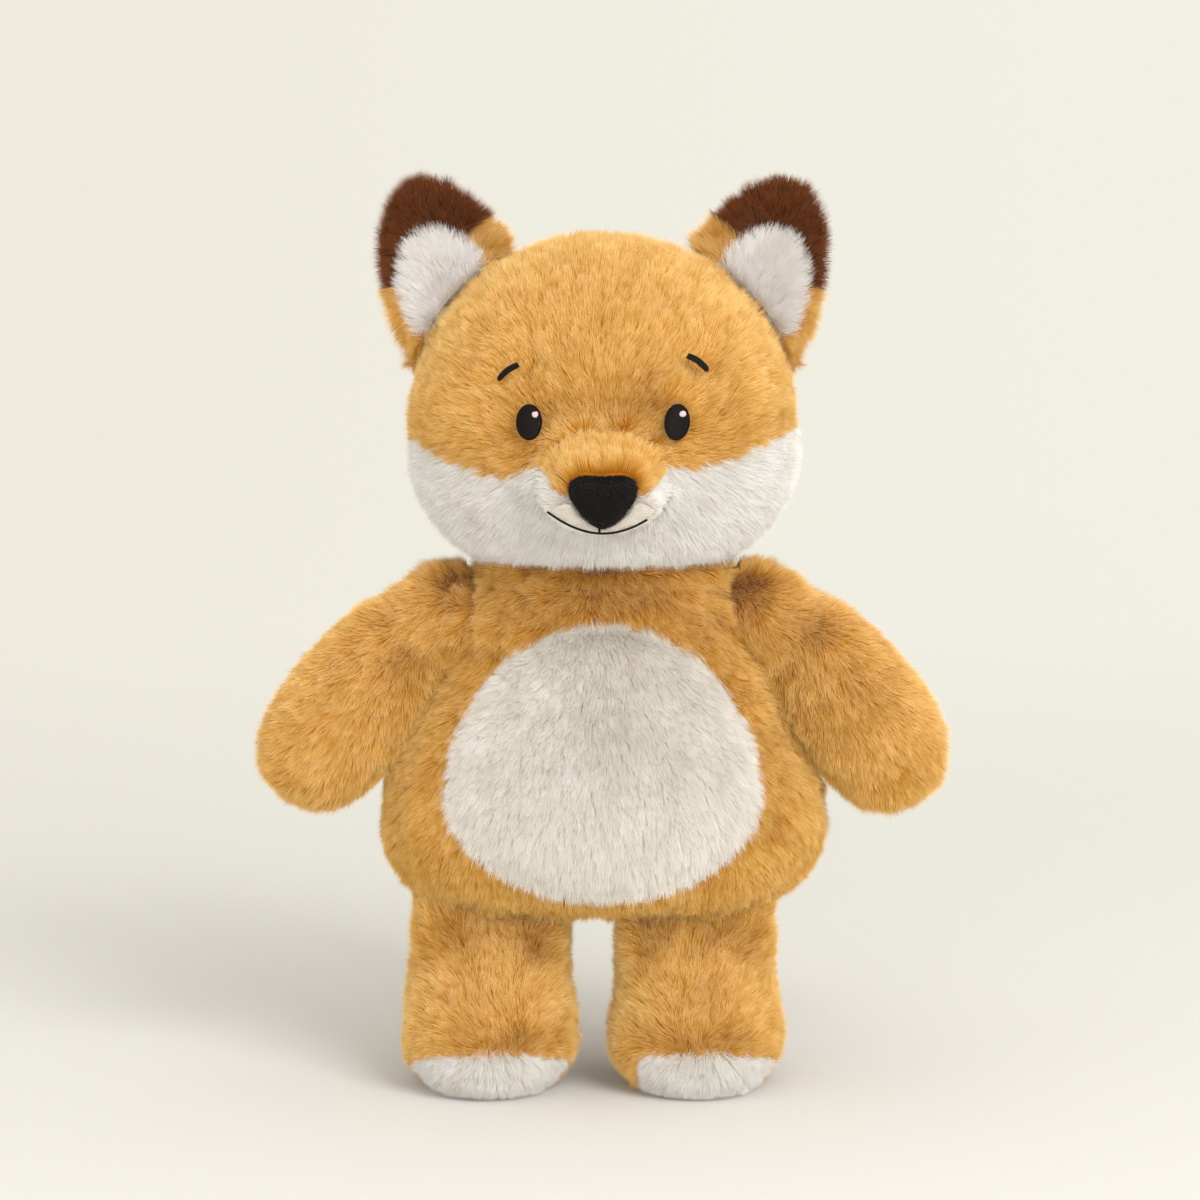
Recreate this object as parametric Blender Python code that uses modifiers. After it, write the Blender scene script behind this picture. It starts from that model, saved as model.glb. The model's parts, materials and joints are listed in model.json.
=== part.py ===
"""A standing plush fox, about a third of a metre tall, as its sewn panels, stuffing and stitched face.

Metres, +Z up. The toy looks towards -Y and its own left side is +X. The floor is z = 0.
Each soft form is a loft of rings. Its panels are cut from a shell of that form, and its
stuffing is the same form, smaller. A limb turns in a round seat that the torso is hollowed for.
"""

import math

import bmesh
import bpy
from mathutils import Matrix, Vector

# Clearances and cloth
PIECE_GAP = 0.0003
OVERRUN = 0.03
CLOTH = 0.0032
FLAT_CUT = 0.0005
TORSO_SIDES = 10
LIMB_SIDES = 8
TAIL_SIDES = 6
INSIDE_SIDES = 8
SEAT_SIDES = 16
SEAT_RINGS = 6
# Every solid here is closed, and the exact solver loses some of these thin shells.
SOLVER = "MANIFOLD"

# Torso
TORSO_BASE = 0.0615
NECK_HEIGHT = 0.196
TORSO_HALF_WIDTH = 0.0870
TORSO_HALF_DEPTH = 0.0630
BELLY_HALF_WIDTH = 0.057
BELLY_BOTTOM = 0.0745
BELLY_TOP = 0.1735

# Head
HEAD_HEIGHT = 0.1185
HEAD_HALF_WIDTH = 0.0735
HEAD_HALF_DEPTH = 0.059
HEAD_FORWARD = 0.003
CHEEK_LINE_HEIGHT = 0.2375
CHEEK_LINE_RISE = 0.0075

# Muzzle and face
MUZZLE_HEIGHT = 0.2265
MUZZLE_HALF_WIDTH = 0.034
MUZZLE_HALF_HEIGHT = 0.026
MUZZLE_ROOT = 0.044
MUZZLE_LENGTH = 0.034
NOSE_DROP = 0.0047
NOSE_HEIGHT = MUZZLE_HEIGHT - NOSE_DROP
NOSE_HALF_WIDTH = 0.0140
NOSE_HALF_HEIGHT = 0.0116
NOSE_DEPTH = 0.0055
EYE_SPREAD = 0.0258
EYE_HEIGHT = 0.2487
EYE_HALF_WIDTH = 0.0049
EYE_HALF_HEIGHT = 0.0066
EYE_THICKNESS = 0.0014
GLINT_RADIUS = 0.0013
GLINT_THICKNESS = 0.0006
GLINT_RISE = 0.0029
GLINT_SHIFT = 0.0020
BROW_SPREAD = 0.0328
BROW_HEIGHT_LEFT = 0.2685
BROW_HEIGHT_RIGHT = 0.2653
BROW_HALF_LENGTH = 0.0048
BROW_HALF_WIDTH = 0.0010
BROW_TILT = math.radians(36)
BROW_THICKNESS = 0.0010
LIP_THICKNESS = 0.0012
MOUTH_HALF_WIDTH = 0.0190
MOUTH_DROP = 0.0112
MOUTH_LIFT = 0.0070
MOUTH_LINE = 0.0016

# Ears
EAR_AXIS_X = 0.0535
EAR_AXIS_Y = 0.0020
EAR_AXIS_Z = 0.2840
EAR_WIDTH = 0.0290
EAR_HEIGHT = 0.0500
EAR_HALF_THICKNESS = 0.0090
EAR_LEAN = 0.0050
EAR_FOLD = math.radians(15)
EAR_TIP_DROP = 0.0150

# Arms
SHOULDER_X = 0.0570
SHOULDER_Y = -0.0040
SHOULDER_Z = 0.1720
ARM_SEAT_RADIUS = 0.0220
ARM_SPAN = 0.0585
ARM_DROP = 0.0680
ARM_FORWARD = 0.0050
ARM_RADIUS = 0.0250
ARM_HALF_DEPTH = 0.0225

# Legs
STANCE_SHIFT = -0.0037
HIP_SPREAD = 0.0380
HIP_Y = -0.0100
HIP_Z = 0.0540
HIP_SEAT_RADIUS = 0.0265
HIP_SEAT_HALF_LENGTH = 0.0295
HIP_SEAT_ROUNDING = 0.0100
HIP_RIM_STEPS = 2
HIP_RIM_ANGLE = math.radians(60)
LEG_HALF_WIDTH = 0.0332
FOOT_HALF_LENGTH = 0.0440
FOOT_FORWARD = 0.0200
SOLE_THICKNESS = 0.0025
TOE_CAP_HEIGHT = 0.0240
TOE_CAP_LENGTH = 0.0300

# Tail
TAIL_Y = 0.0480
TAIL_Z = 0.0840
TAIL_SEAT_RADIUS = 0.0140
TAIL_LENGTH = 0.0900
TAIL_RISE = 0.0480
TAIL_HALF_WIDTH = 0.0230
TAIL_TIP_SHARE = 0.66
TAIL_WAG = math.radians(20)

# Rings of each form, bottom to top or root to end, as shares of the sizes above.
# Torso and head: height, half width, half depth.
TORSO_RING_SHARES = (
    (0.000, 0.62, 0.60),
    (0.080, 0.92, 0.90),
    (0.230, 1.03, 1.03),
    (0.420, 0.93, 0.95),
    (0.640, 0.765, 0.82),
    (0.860, 0.660, 0.70),
    (1.080, 0.555, 0.60),
)
HEAD_RING_SHARES = (
    (-0.080, 0.45, 0.48),
    (0.020, 0.78, 0.82),
    (0.170, 0.98, 1.00),
    (0.360, 1.025, 1.035),
    (0.560, 0.975, 0.99),
    (0.760, 0.790, 0.81),
    (0.920, 0.500, 0.52),
    (1.000, 0.220, 0.23),
)
# Muzzle: length, half width, half height, rise of the centre.
MUZZLE_RING_SHARES = (
    (0.00, 1.00, 1.00, 0.10),
    (0.40, 0.93, 0.93, 0.08),
    (0.72, 0.74, 0.78, 0.02),
    (0.93, 0.46, 0.50, 0.00),
    (1.00, 0.18, 0.20, 0.00),
)
# Ear, from the hinge: inner edge across and up, outer edge across and up, thickness, lean.
EAR_RING_SHARES = (
    (-1.05, 0.10, 0.22, -0.80, 1.00, 0.00),
    (-0.78, 0.55, 0.78, -0.32, 1.05, 0.10),
    (-0.38, 0.78, 0.99, 0.13, 1.00, 0.35),
    (-0.02, 0.92, 1.02, 0.48, 0.85, 0.60),
    (0.34, 1.00, 0.96, 0.76, 0.60, 0.85),
    (0.56, 0.99, 0.80, 0.88, 0.32, 1.00),
)
# Arm, from the shoulder: outwards, down, radius.
ARM_RING_SHARES = (
    (0.02, 0.01, 0.80),
    (0.30, 0.19, 1.01),
    (0.62, 0.48, 1.06),
    (0.88, 0.80, 0.98),
    (1.00, 1.00, 0.52),
)
ARM_STUFFING_SHARE = 0.66
# Leg: height, half width, half length, centre forwards.
LEG_RING_SHARES = (
    (0.000, 0.50, 0.52, 1.00),
    (0.000, 0.84, 0.86, 1.00),
    (0.180, 1.03, 1.02, 1.00),
    (0.480, 1.02, 0.99, 0.94),
    (0.760, 0.93, 0.74, 0.66),
    (1.000, 0.88, 0.600, 0.50),
    (1.180, 0.70, 0.440, 0.50),
)
LEG_STUFFING_SHARE = 0.84
# Tail: length, rise, radius.
TAIL_RING_SHARES = (
    (0.00, 0.00, 0.42),
    (0.22, -0.04, 0.72),
    (0.52, 0.08, 1.08),
    (0.80, 0.42, 0.98),
    (0.95, 0.80, 0.56),
    (1.00, 1.00, 0.24),
)
TAIL_STUFFING_SHARE = 0.84
FORM_FULLNESS = 2.25

# Seams that are drawn on the face: across as a share of a half width, up as a share of a height.
CHEEK_LINE_SHARES = (
    (-1.30, 0.60),
    (-0.86, 0.00),
    (-0.66, -0.85),
    (-0.48, -1.30),
    (-0.32, -0.70),
    (0.32, -0.70),
    (0.48, -0.90),
    (0.66, -0.20),
    (0.86, 0.55),
    (1.30, 1.20),
)
MUZZLE_LINE_SHARES = (
    (-1.40, 0.66),
    (-0.76, 0.48),
    (-0.46, -0.02),
    (0.00, -0.20),
    (0.54, 0.06),
    (0.78, 0.50),
    (1.40, 0.66),
)
NOSE_OUTLINE_SHARES = (
    (0.00, 0.86),
    (-0.50, 1.02),
    (-0.95, 0.72),
    (-0.98, 0.20),
    (-0.55, -0.50),
    (0.00, -1.05),
    (0.55, -0.50),
    (0.98, 0.20),
    (0.95, 0.72),
    (0.50, 1.02),
)
NOSE_RING_SHARES = ((0.00, 0.92), (0.45, 1.02), (0.85, 0.78), (1.00, 0.42))
BELLY_OUTLINE_POINTS = 20
BELLY_WIDEST_SHARE = 0.35
PAD_OUTLINE_POINTS = 14
MOUTH_OUTLINE_POINTS = 9


def clear_scene():
    for obj in list(bpy.data.objects):
        bpy.data.objects.remove(obj)


def new_collection(name):
    made = bpy.data.collections.new(name)
    bpy.context.scene.collection.children.link(made)
    return made


def new_material(name, colour, roughness):
    made = bpy.data.materials.new(name)
    made.use_nodes = True
    shader = made.node_tree.nodes["Principled BSDF"]
    shader.inputs["Base Color"].default_value = (*colour, 1.0)
    shader.inputs["Roughness"].default_value = roughness
    shader.inputs["Metallic"].default_value = 0.0
    return made


def superellipse(turn):
    """A point on a unit ring that is a little fuller than a circle."""
    power = 2.0 / FORM_FULLNESS
    across, through = math.cos(turn), math.sin(turn)
    return (
        math.copysign(abs(across) ** power, across),
        math.copysign(abs(through) ** power, through),
    )


def ring_points(centre, across, through, sides):
    """One ring of a cage. It is larger than the form, because subdividing draws it in."""
    growth = 1.0 / math.cos(math.pi / sides)
    points = []
    for index in range(sides):
        u, v = superellipse(2.0 * math.pi * (index + 0.5) / sides)
        points.append(centre + growth * (u * across + v * through))
    return points


def chosen_rings(shares, inside):
    """Every ring for a skin, and every other one with the last for the plainer inside."""
    if not inside:
        return shares
    return shares[:-1:2] + shares[-1:]


def loft(name, rings):
    """A closed mesh through rings of equally many points."""
    shape = bmesh.new()
    loops = [[shape.verts.new(point) for point in ring] for ring in rings]
    sides = len(loops[0])
    for lower, upper in zip(loops, loops[1:]):
        for index in range(sides):
            after = (index + 1) % sides
            shape.faces.new((lower[index], lower[after], upper[after], upper[index]))
    shape.faces.new(loops[0])
    shape.faces.new(loops[-1])
    bmesh.ops.recalc_face_normals(shape, faces=shape.faces)
    mesh = bpy.data.meshes.new(name)
    shape.to_mesh(mesh)
    shape.free()
    mesh.shade_smooth()
    return mesh


def torso_cage(sides, inside=False):
    height = NECK_HEIGHT - TORSO_BASE
    rings = []
    for up, wide, deep in chosen_rings(TORSO_RING_SHARES, inside):
        centre = Vector((0, 0, TORSO_BASE + up * height))
        across = Vector((wide * TORSO_HALF_WIDTH, 0, 0))
        through = Vector((0, deep * TORSO_HALF_DEPTH, 0))
        rings.append(ring_points(centre, across, through, sides))
    return loft("torso_cage", rings)


def head_cage(sides, inside=False):
    rings = []
    for up, wide, deep in chosen_rings(HEAD_RING_SHARES, inside):
        centre = Vector((0, -HEAD_FORWARD, NECK_HEIGHT + up * HEAD_HEIGHT))
        across = Vector((wide * HEAD_HALF_WIDTH, 0, 0))
        through = Vector((0, deep * HEAD_HALF_DEPTH, 0))
        rings.append(ring_points(centre, across, through, sides))
    return loft("head_cage", rings)


def muzzle_cage(sides, inside=False):
    rings = []
    for out, wide, tall, rise in chosen_rings(MUZZLE_RING_SHARES, inside):
        y = -MUZZLE_ROOT - out * MUZZLE_LENGTH
        centre = Vector((0, y, MUZZLE_HEIGHT + rise * MUZZLE_HALF_HEIGHT))
        across = Vector((wide * MUZZLE_HALF_WIDTH, 0, 0))
        through = Vector((0, 0, tall * MUZZLE_HALF_HEIGHT))
        rings.append(ring_points(centre, across, through, sides))
    return loft("muzzle_cage", rings)


def ear_cage(side, sides):
    rings = []
    for inner_x, inner_z, outer_x, outer_z, thick, lean in EAR_RING_SHARES:
        inner = Vector((inner_x * EAR_WIDTH, 0, inner_z * EAR_HEIGHT))
        outer = Vector((outer_x * EAR_WIDTH, 0, outer_z * EAR_HEIGHT))
        middle = (inner + outer) / 2
        half = (outer - inner) / 2
        x = side * (EAR_AXIS_X + middle.x)
        y = EAR_AXIS_Y + lean * EAR_LEAN
        centre = Vector((x, y, EAR_AXIS_Z + middle.z))
        across = Vector((side * half.x, 0, half.z))
        through = Vector((0, thick * EAR_HALF_THICKNESS, 0))
        rings.append(ring_points(centre, across, through, sides))
    return loft("ear_cage", rings)


def path_rings(centres, radii, depth_share, sideways, sides):
    """Rings square to a path. Their width lies square to both the path and sideways."""
    rings = []
    for index, centre in enumerate(centres):
        before = centres[max(index - 1, 0)]
        after = centres[min(index + 1, len(centres) - 1)]
        across = (after - before).normalized().cross(sideways).normalized()
        through = sideways * (radii[index] * depth_share)
        rings.append(ring_points(centre, across * radii[index], through, sides))
    return rings


def arm_cage(side, sides, fill=1.0):
    centres = []
    radii = []
    for out, down, wide in chosen_rings(ARM_RING_SHARES, fill < 1.0):
        x = side * (SHOULDER_X + out * ARM_SPAN)
        y = SHOULDER_Y - out * ARM_FORWARD
        centres.append(Vector((x, y, SHOULDER_Z - down * ARM_DROP)))
        radii.append(fill * wide * ARM_RADIUS)
    middle = sum(centres, Vector()) / len(centres)
    centres = [middle.lerp(centre, (1 + fill) / 2) for centre in centres]
    depth_share = ARM_HALF_DEPTH / ARM_RADIUS
    return loft("arm_cage", path_rings(centres, radii, depth_share, Vector((0, 1, 0)), sides))


def leg_cage(side, sides, fill=1.0):
    x = STANCE_SHIFT + side * HIP_SPREAD
    rings = []
    for up, wide, long, forward in chosen_rings(LEG_RING_SHARES, fill < 1.0):
        z = HIP_Z - (1 - up) * (HIP_Z + FLAT_CUT)
        if fill < 1.0:
            z = HIP_Z - (1 - up) * (HIP_Z - SOLE_THICKNESS)
        centre = Vector((x, -forward * FOOT_FORWARD, z))
        across = Vector((fill * wide * LEG_HALF_WIDTH, 0, 0))
        through = Vector((0, fill * long * FOOT_HALF_LENGTH, 0))
        rings.append(ring_points(centre, across, through, sides))
    return loft("leg_cage", rings)


def tail_cage(sides, fill=1.0):
    centres = []
    radii = []
    for out, up, wide in chosen_rings(TAIL_RING_SHARES, fill < 1.0):
        centres.append(Vector((0, TAIL_Y + out * TAIL_LENGTH, TAIL_Z + up * TAIL_RISE)))
        radii.append(fill * wide * TAIL_HALF_WIDTH)
    middle = sum(centres, Vector()) / len(centres)
    centres = [middle.lerp(centre, (1 + fill) / 2) for centre in centres]
    return loft("tail_cage", path_rings(centres, radii, 1.0, Vector((1, 0, 0)), sides))


def add_object(name, mesh, collection, parent):
    obj = bpy.data.objects.new(name, mesh)
    collection.objects.link(obj)
    obj.parent = parent
    # A piece's points are written in the toy's own frame, so a joint's place is taken off again.
    if parent.parent:
        obj.matrix_parent_inverse = Matrix.Translation(-parent.location)
    return obj


def add_cutter(name, mesh):
    obj = add_object(name, mesh, CUTTERS, TOY)
    obj.hide_render = True
    obj.display_type = "WIRE"
    return obj


def add_joint(name, place):
    """An empty on a joint's axis, which carries the pieces that turn about it."""
    empty = bpy.data.objects.new(name, None)
    PIECES.objects.link(empty)
    empty.parent = TOY
    empty.location = place
    empty.empty_display_size = ARM_SEAT_RADIUS
    return empty


def soften(obj, distance=0.0):
    """Rounds a cage, and moves its surface out by a distance.

    Every face is split along the same diagonal, so that a form and its offset never cross.
    """
    rounding = obj.modifiers.new("Rounding", "SUBSURF")
    rounding.levels = 1
    rounding.render_levels = 1
    splitting = obj.modifiers.new("Diagonals", "TRIANGULATE")
    splitting.quad_method = "FIXED"
    if distance:
        moving = obj.modifiers.new("Offset", "DISPLACE")
        moving.strength = distance
        moving.mid_level = 0.0
    return obj


def combine(obj, *steps):
    """Boolean steps in order, each an operation and the solid that it takes."""
    for operation, other in steps:
        step = obj.modifiers.new(f"{operation} {other.name}", "BOOLEAN")
        step.operation = operation
        step.solver = SOLVER
        step.object = other
    return obj


def soft_cutter(name, mesh, distance=0.0):
    return soften(add_cutter(name, mesh), distance)


def soft_piece(name, mesh, material, parent, *steps, distance=0.0):
    obj = add_object(name, mesh, PIECES, parent)
    obj.data.materials.append(material)
    soften(obj, distance)
    return combine(obj, *steps)


def box_cutter(name, low, high):
    shape = bmesh.new()
    bmesh.ops.create_cube(shape, size=1.0)
    low, high = Vector(low), Vector(high)
    bmesh.ops.transform(
        shape,
        matrix=Matrix.Translation((low + high) / 2) @ Matrix.Diagonal((*(high - low), 1)),
        verts=shape.verts,
    )
    mesh = bpy.data.meshes.new(name)
    shape.to_mesh(mesh)
    shape.free()
    return add_cutter(name, mesh)


def prism_mesh(name, outline, near, far):
    """An outline in X and Z, drawn out along Y from near to far."""
    shape = bmesh.new()
    face = shape.faces.new([shape.verts.new((x, near, z)) for x, z in outline])
    drawn = bmesh.ops.extrude_face_region(shape, geom=[face])["geom"]
    moved = [part for part in drawn if isinstance(part, bmesh.types.BMVert)]
    bmesh.ops.translate(shape, verts=moved, vec=(0, far - near, 0))
    bmesh.ops.recalc_face_normals(shape, faces=shape.faces)
    mesh = bpy.data.meshes.new(name)
    shape.to_mesh(mesh)
    shape.free()
    return mesh


def oval_outline(x, z, half_width, half_height, tilt=0.0):
    points = []
    for index in range(PAD_OUTLINE_POINTS):
        turn = 2.0 * math.pi * index / PAD_OUTLINE_POINTS
        u, v = half_width * math.cos(turn), half_height * math.sin(turn)
        points.append(
            (x + u * math.cos(tilt) - v * math.sin(tilt), z + u * math.sin(tilt) + v * math.cos(tilt))
        )
    return points


def ball_cutter(name, centre, axis, radius):
    """A ball whose poles lie on its joint's axis, so that it turns on the spot."""
    shape = bmesh.new()
    bmesh.ops.create_uvsphere(
        shape, u_segments=SEAT_SIDES, v_segments=SEAT_RINGS, radius=radius
    )
    turned = Vector((0, 0, 1)).rotation_difference(axis).to_matrix().to_4x4()
    bmesh.ops.transform(shape, matrix=Matrix.Translation(centre) @ turned, verts=shape.verts)
    mesh = bpy.data.meshes.new(name)
    shape.to_mesh(mesh)
    shape.free()
    mesh.shade_smooth()
    return add_cutter(name, mesh)


def barrel_cutter(name, centre, radius, half_length):
    """A drum across X with rounded rims."""
    shape = bmesh.new()
    bmesh.ops.create_cone(
        shape,
        cap_ends=True,
        segments=SEAT_SIDES,
        radius1=radius,
        radius2=radius,
        depth=2 * half_length,
    )
    turned = Matrix.Rotation(math.pi / 2, 4, "Y")
    bmesh.ops.transform(shape, matrix=Matrix.Translation(centre) @ turned, verts=shape.verts)
    mesh = bpy.data.meshes.new(name)
    shape.to_mesh(mesh)
    shape.free()
    mesh.shade_smooth()
    obj = add_cutter(name, mesh)
    rim = obj.modifiers.new("Rim", "BEVEL")
    rim.width = HIP_SEAT_ROUNDING
    rim.segments = HIP_RIM_STEPS
    rim.limit_method = "ANGLE"
    rim.angle_limit = HIP_RIM_ANGLE
    return obj


def socket_radius(radius):
    """A many-sided seat's own radius in its socket, with the gap at the flats of the socket."""
    return (radius + PIECE_GAP) / math.cos(math.pi / SEAT_SIDES)


def side_name(side):
    return "left" if side > 0 else "right"


def half_region(name, low, high):
    """A region of the toy's space that a panel is kept inside."""
    reach = TORSO_HALF_WIDTH * 3
    filled = [
        (-reach if a is None else a, reach if b is None else b) for a, b in zip(low, high)
    ]
    filled[2] = (
        -OVERRUN if low[2] is None else low[2],
        NECK_HEIGHT + HEAD_HEIGHT * 2 if high[2] is None else high[2],
    )
    return box_cutter(name, [pair[0] for pair in filled], [pair[1] for pair in filled])


def belly_outline(grow):
    """An egg that is widest below its middle."""
    points = []
    middle = BELLY_BOTTOM + (BELLY_TOP - BELLY_BOTTOM) * BELLY_WIDEST_SHARE
    for index in range(BELLY_OUTLINE_POINTS):
        turn = 2.0 * math.pi * index / BELLY_OUTLINE_POINTS
        reach = BELLY_TOP - middle if math.sin(turn) > 0 else middle - BELLY_BOTTOM
        x = (BELLY_HALF_WIDTH + grow) * math.cos(turn)
        points.append((x, middle + (reach + grow) * math.sin(turn)))
    return points


def build_torso():
    """Front panel with the belly set in, back panel and stuffing, hollowed for every seat."""
    front = half_region("torso_front_region", (None, None, None), (None, -PIECE_GAP / 2, None))
    back = half_region("torso_back_region", (None, PIECE_GAP / 2, None), (None, None, None))
    above = half_region("neck_above", (None, None, NECK_HEIGHT - PIECE_GAP / 2), (None, None, None))
    inside = soft_cutter("torso_inside", torso_cage(INSIDE_SIDES, inside=True), -CLOTH)
    belly = add_cutter(
        "belly_region", prism_mesh("belly_region", belly_outline(0), -TORSO_HALF_DEPTH * 2, 0)
    )
    belly_seam = add_cutter(
        "belly_seam",
        prism_mesh("belly_seam", belly_outline(PIECE_GAP), -TORSO_HALF_DEPTH * 2, 0),
    )
    hollows = [("DIFFERENCE", above)] + [("DIFFERENCE", socket) for socket in SOCKETS]
    shell = [("DIFFERENCE", inside)] + hollows
    soft_piece(
        "torso_front_panel",
        torso_cage(TORSO_SIDES),
        ORANGE,
        TOY,
        ("INTERSECT", front),
        ("DIFFERENCE", belly_seam),
        *shell,
    )
    soft_piece(
        "belly_panel",
        torso_cage(TORSO_SIDES),
        CREAM,
        TOY,
        ("INTERSECT", belly),
        *shell,
    )
    soft_piece("torso_back_panel", torso_cage(TORSO_SIDES), ORANGE, TOY, ("INTERSECT", back), *shell)
    soft_piece(
        "torso_stuffing",
        torso_cage(INSIDE_SIDES, inside=True),
        FILLING,
        TOY,
        *hollows,
        distance=-CLOTH - PIECE_GAP,
    )


def cheek_outline(drop):
    points = [
        (across * HEAD_HALF_WIDTH, CHEEK_LINE_HEIGHT + up * CHEEK_LINE_RISE - drop)
        for across, up in CHEEK_LINE_SHARES
    ]
    reach = CHEEK_LINE_SHARES[-1][0] * HEAD_HALF_WIDTH
    return points + [(reach, NECK_HEIGHT - OVERRUN), (-reach, NECK_HEIGHT - OVERRUN)]


def build_head(neck):
    """Face, cheek and back panels over the stuffing."""
    far = -HEAD_HALF_DEPTH * 2
    front = half_region("face_region", (None, None, None), (None, -PIECE_GAP / 2, None))
    back = half_region("head_back_region", (None, PIECE_GAP / 2, None), (None, None, None))
    below = half_region("neck_below", (None, None, None), (None, None, NECK_HEIGHT + PIECE_GAP / 2))
    inside = soft_cutter("head_inside", head_cage(INSIDE_SIDES, inside=True), -CLOTH)
    cheeks = add_cutter("cheek_region", prism_mesh("cheek_region", cheek_outline(PIECE_GAP), far, OVERRUN))
    seam = add_cutter("cheek_seam", prism_mesh("cheek_seam", cheek_outline(0), far, OVERRUN))
    shell = [("DIFFERENCE", inside), ("DIFFERENCE", below)]
    cage = head_cage(TORSO_SIDES)
    soft_piece(
        "head_face_panel", cage.copy(), ORANGE, neck, ("INTERSECT", front), ("DIFFERENCE", seam), *shell
    )
    soft_piece(
        "cheek_panel", cage.copy(), WHITE, neck, ("INTERSECT", front), ("INTERSECT", cheeks), *shell
    )
    soft_piece("head_back_panel", cage.copy(), ORANGE, neck, ("INTERSECT", back), *shell)
    soft_piece(
        "head_stuffing",
        head_cage(INSIDE_SIDES, inside=True),
        FILLING,
        neck,
        ("DIFFERENCE", below),
        distance=-CLOTH - PIECE_GAP,
    )


def muzzle_outline(drop):
    points = [
        (across * MUZZLE_HALF_WIDTH, MUZZLE_HEIGHT + up * MUZZLE_HALF_HEIGHT - drop)
        for across, up in MUZZLE_LINE_SHARES
    ]
    reach = MUZZLE_LINE_SHARES[-1][0] * MUZZLE_HALF_WIDTH
    floor = MUZZLE_HEIGHT - 2 * MUZZLE_HALF_HEIGHT
    return points + [(reach, floor), (-reach, floor)]


def mouth_outline(thickness):
    """A smiling band under the nose, from corner to corner and back, or all above it."""
    lower = []
    upper = []
    for index in range(MOUTH_OUTLINE_POINTS):
        share = 2.0 * index / (MOUTH_OUTLINE_POINTS - 1) - 1.0
        x = share * MOUTH_HALF_WIDTH
        z = NOSE_HEIGHT - MOUTH_DROP + MOUTH_LIFT * share * share
        lower.append((x, z - MOUTH_LINE / 2))
        upper.append((x, z + MOUTH_LINE / 2 + thickness))
    return lower + upper[::-1]


def lip_outline():
    """The patch between the mouth line and the nose."""
    lower = []
    for index in range(MOUTH_OUTLINE_POINTS):
        share = 2.0 * index / (MOUTH_OUTLINE_POINTS - 1) - 1.0
        z = NOSE_HEIGHT - MOUTH_DROP + MOUTH_LIFT * share * share
        lower.append((share * MOUTH_HALF_WIDTH, z + MOUTH_LINE / 2 + PIECE_GAP))
    return lower + [(NOSE_HALF_WIDTH, NOSE_HEIGHT), (-NOSE_HALF_WIDTH, NOSE_HEIGHT)]


def nose_mesh(grow):
    """A rounded triangle, point down, that swells forwards."""
    root = -MUZZLE_ROOT - MUZZLE_LENGTH + NOSE_DEPTH
    rings = []
    for out, wide in NOSE_RING_SHARES:
        ring = []
        for across, up in NOSE_OUTLINE_SHARES:
            x = across * (wide * NOSE_HALF_WIDTH + grow)
            z = NOSE_HEIGHT + up * (wide * NOSE_HALF_HEIGHT + grow)
            ring.append(Vector((x, root - out * (2 * NOSE_DEPTH + grow), z)))
        rings.append(ring)
    return loft("nose_cage", rings)


def build_muzzle(neck):
    """Bridge, white muzzle, lip patch, nose and stitched mouth, all on the front of the head."""
    far = -MUZZLE_ROOT - 2 * MUZZLE_LENGTH
    head = soft_cutter("head_skin_for_muzzle", head_cage(TORSO_SIDES), PIECE_GAP)
    inside = soft_cutter("muzzle_inside", muzzle_cage(INSIDE_SIDES, inside=True), -CLOTH)
    lower = add_cutter("muzzle_region", prism_mesh("muzzle_region", muzzle_outline(PIECE_GAP), far, 0))
    seam = add_cutter("muzzle_seam", prism_mesh("muzzle_seam", muzzle_outline(0), far, 0))
    shell = [("DIFFERENCE", head), ("DIFFERENCE", inside)]
    cage = muzzle_cage(LIMB_SIDES)
    soft_piece("muzzle_bridge", cage.copy(), ORANGE, neck, *shell, ("DIFFERENCE", seam))
    soft_piece("muzzle_panel", cage.copy(), WHITE, neck, *shell, ("INTERSECT", lower))
    soft_piece(
        "muzzle_stuffing",
        muzzle_cage(INSIDE_SIDES, inside=True),
        FILLING,
        neck,
        ("DIFFERENCE", head),
        distance=-CLOTH - PIECE_GAP,
    )
    skin = soft_cutter("muzzle_skin", cage.copy(), PIECE_GAP)
    nose_space = soft_cutter("nose_space", nose_mesh(PIECE_GAP))
    soft_piece("nose", nose_mesh(0), NOSE_PLUSH, neck, ("DIFFERENCE", skin))
    for name, outline, material, thickness in (
        ("muzzle_lip", lip_outline(), CREAM, LIP_THICKNESS),
        ("mouth_stitch", mouth_outline(0), THREAD, LIP_THICKNESS),
    ):
        mesh = prism_mesh(name + "_region", outline, far, -HEAD_HALF_DEPTH)
        region = add_cutter(name + "_region", mesh)
        soft_piece(
            name,
            cage.copy(),
            material,
            neck,
            ("INTERSECT", region),
            ("DIFFERENCE", skin),
            ("DIFFERENCE", nose_space),
            distance=PIECE_GAP + thickness,
        )


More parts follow.
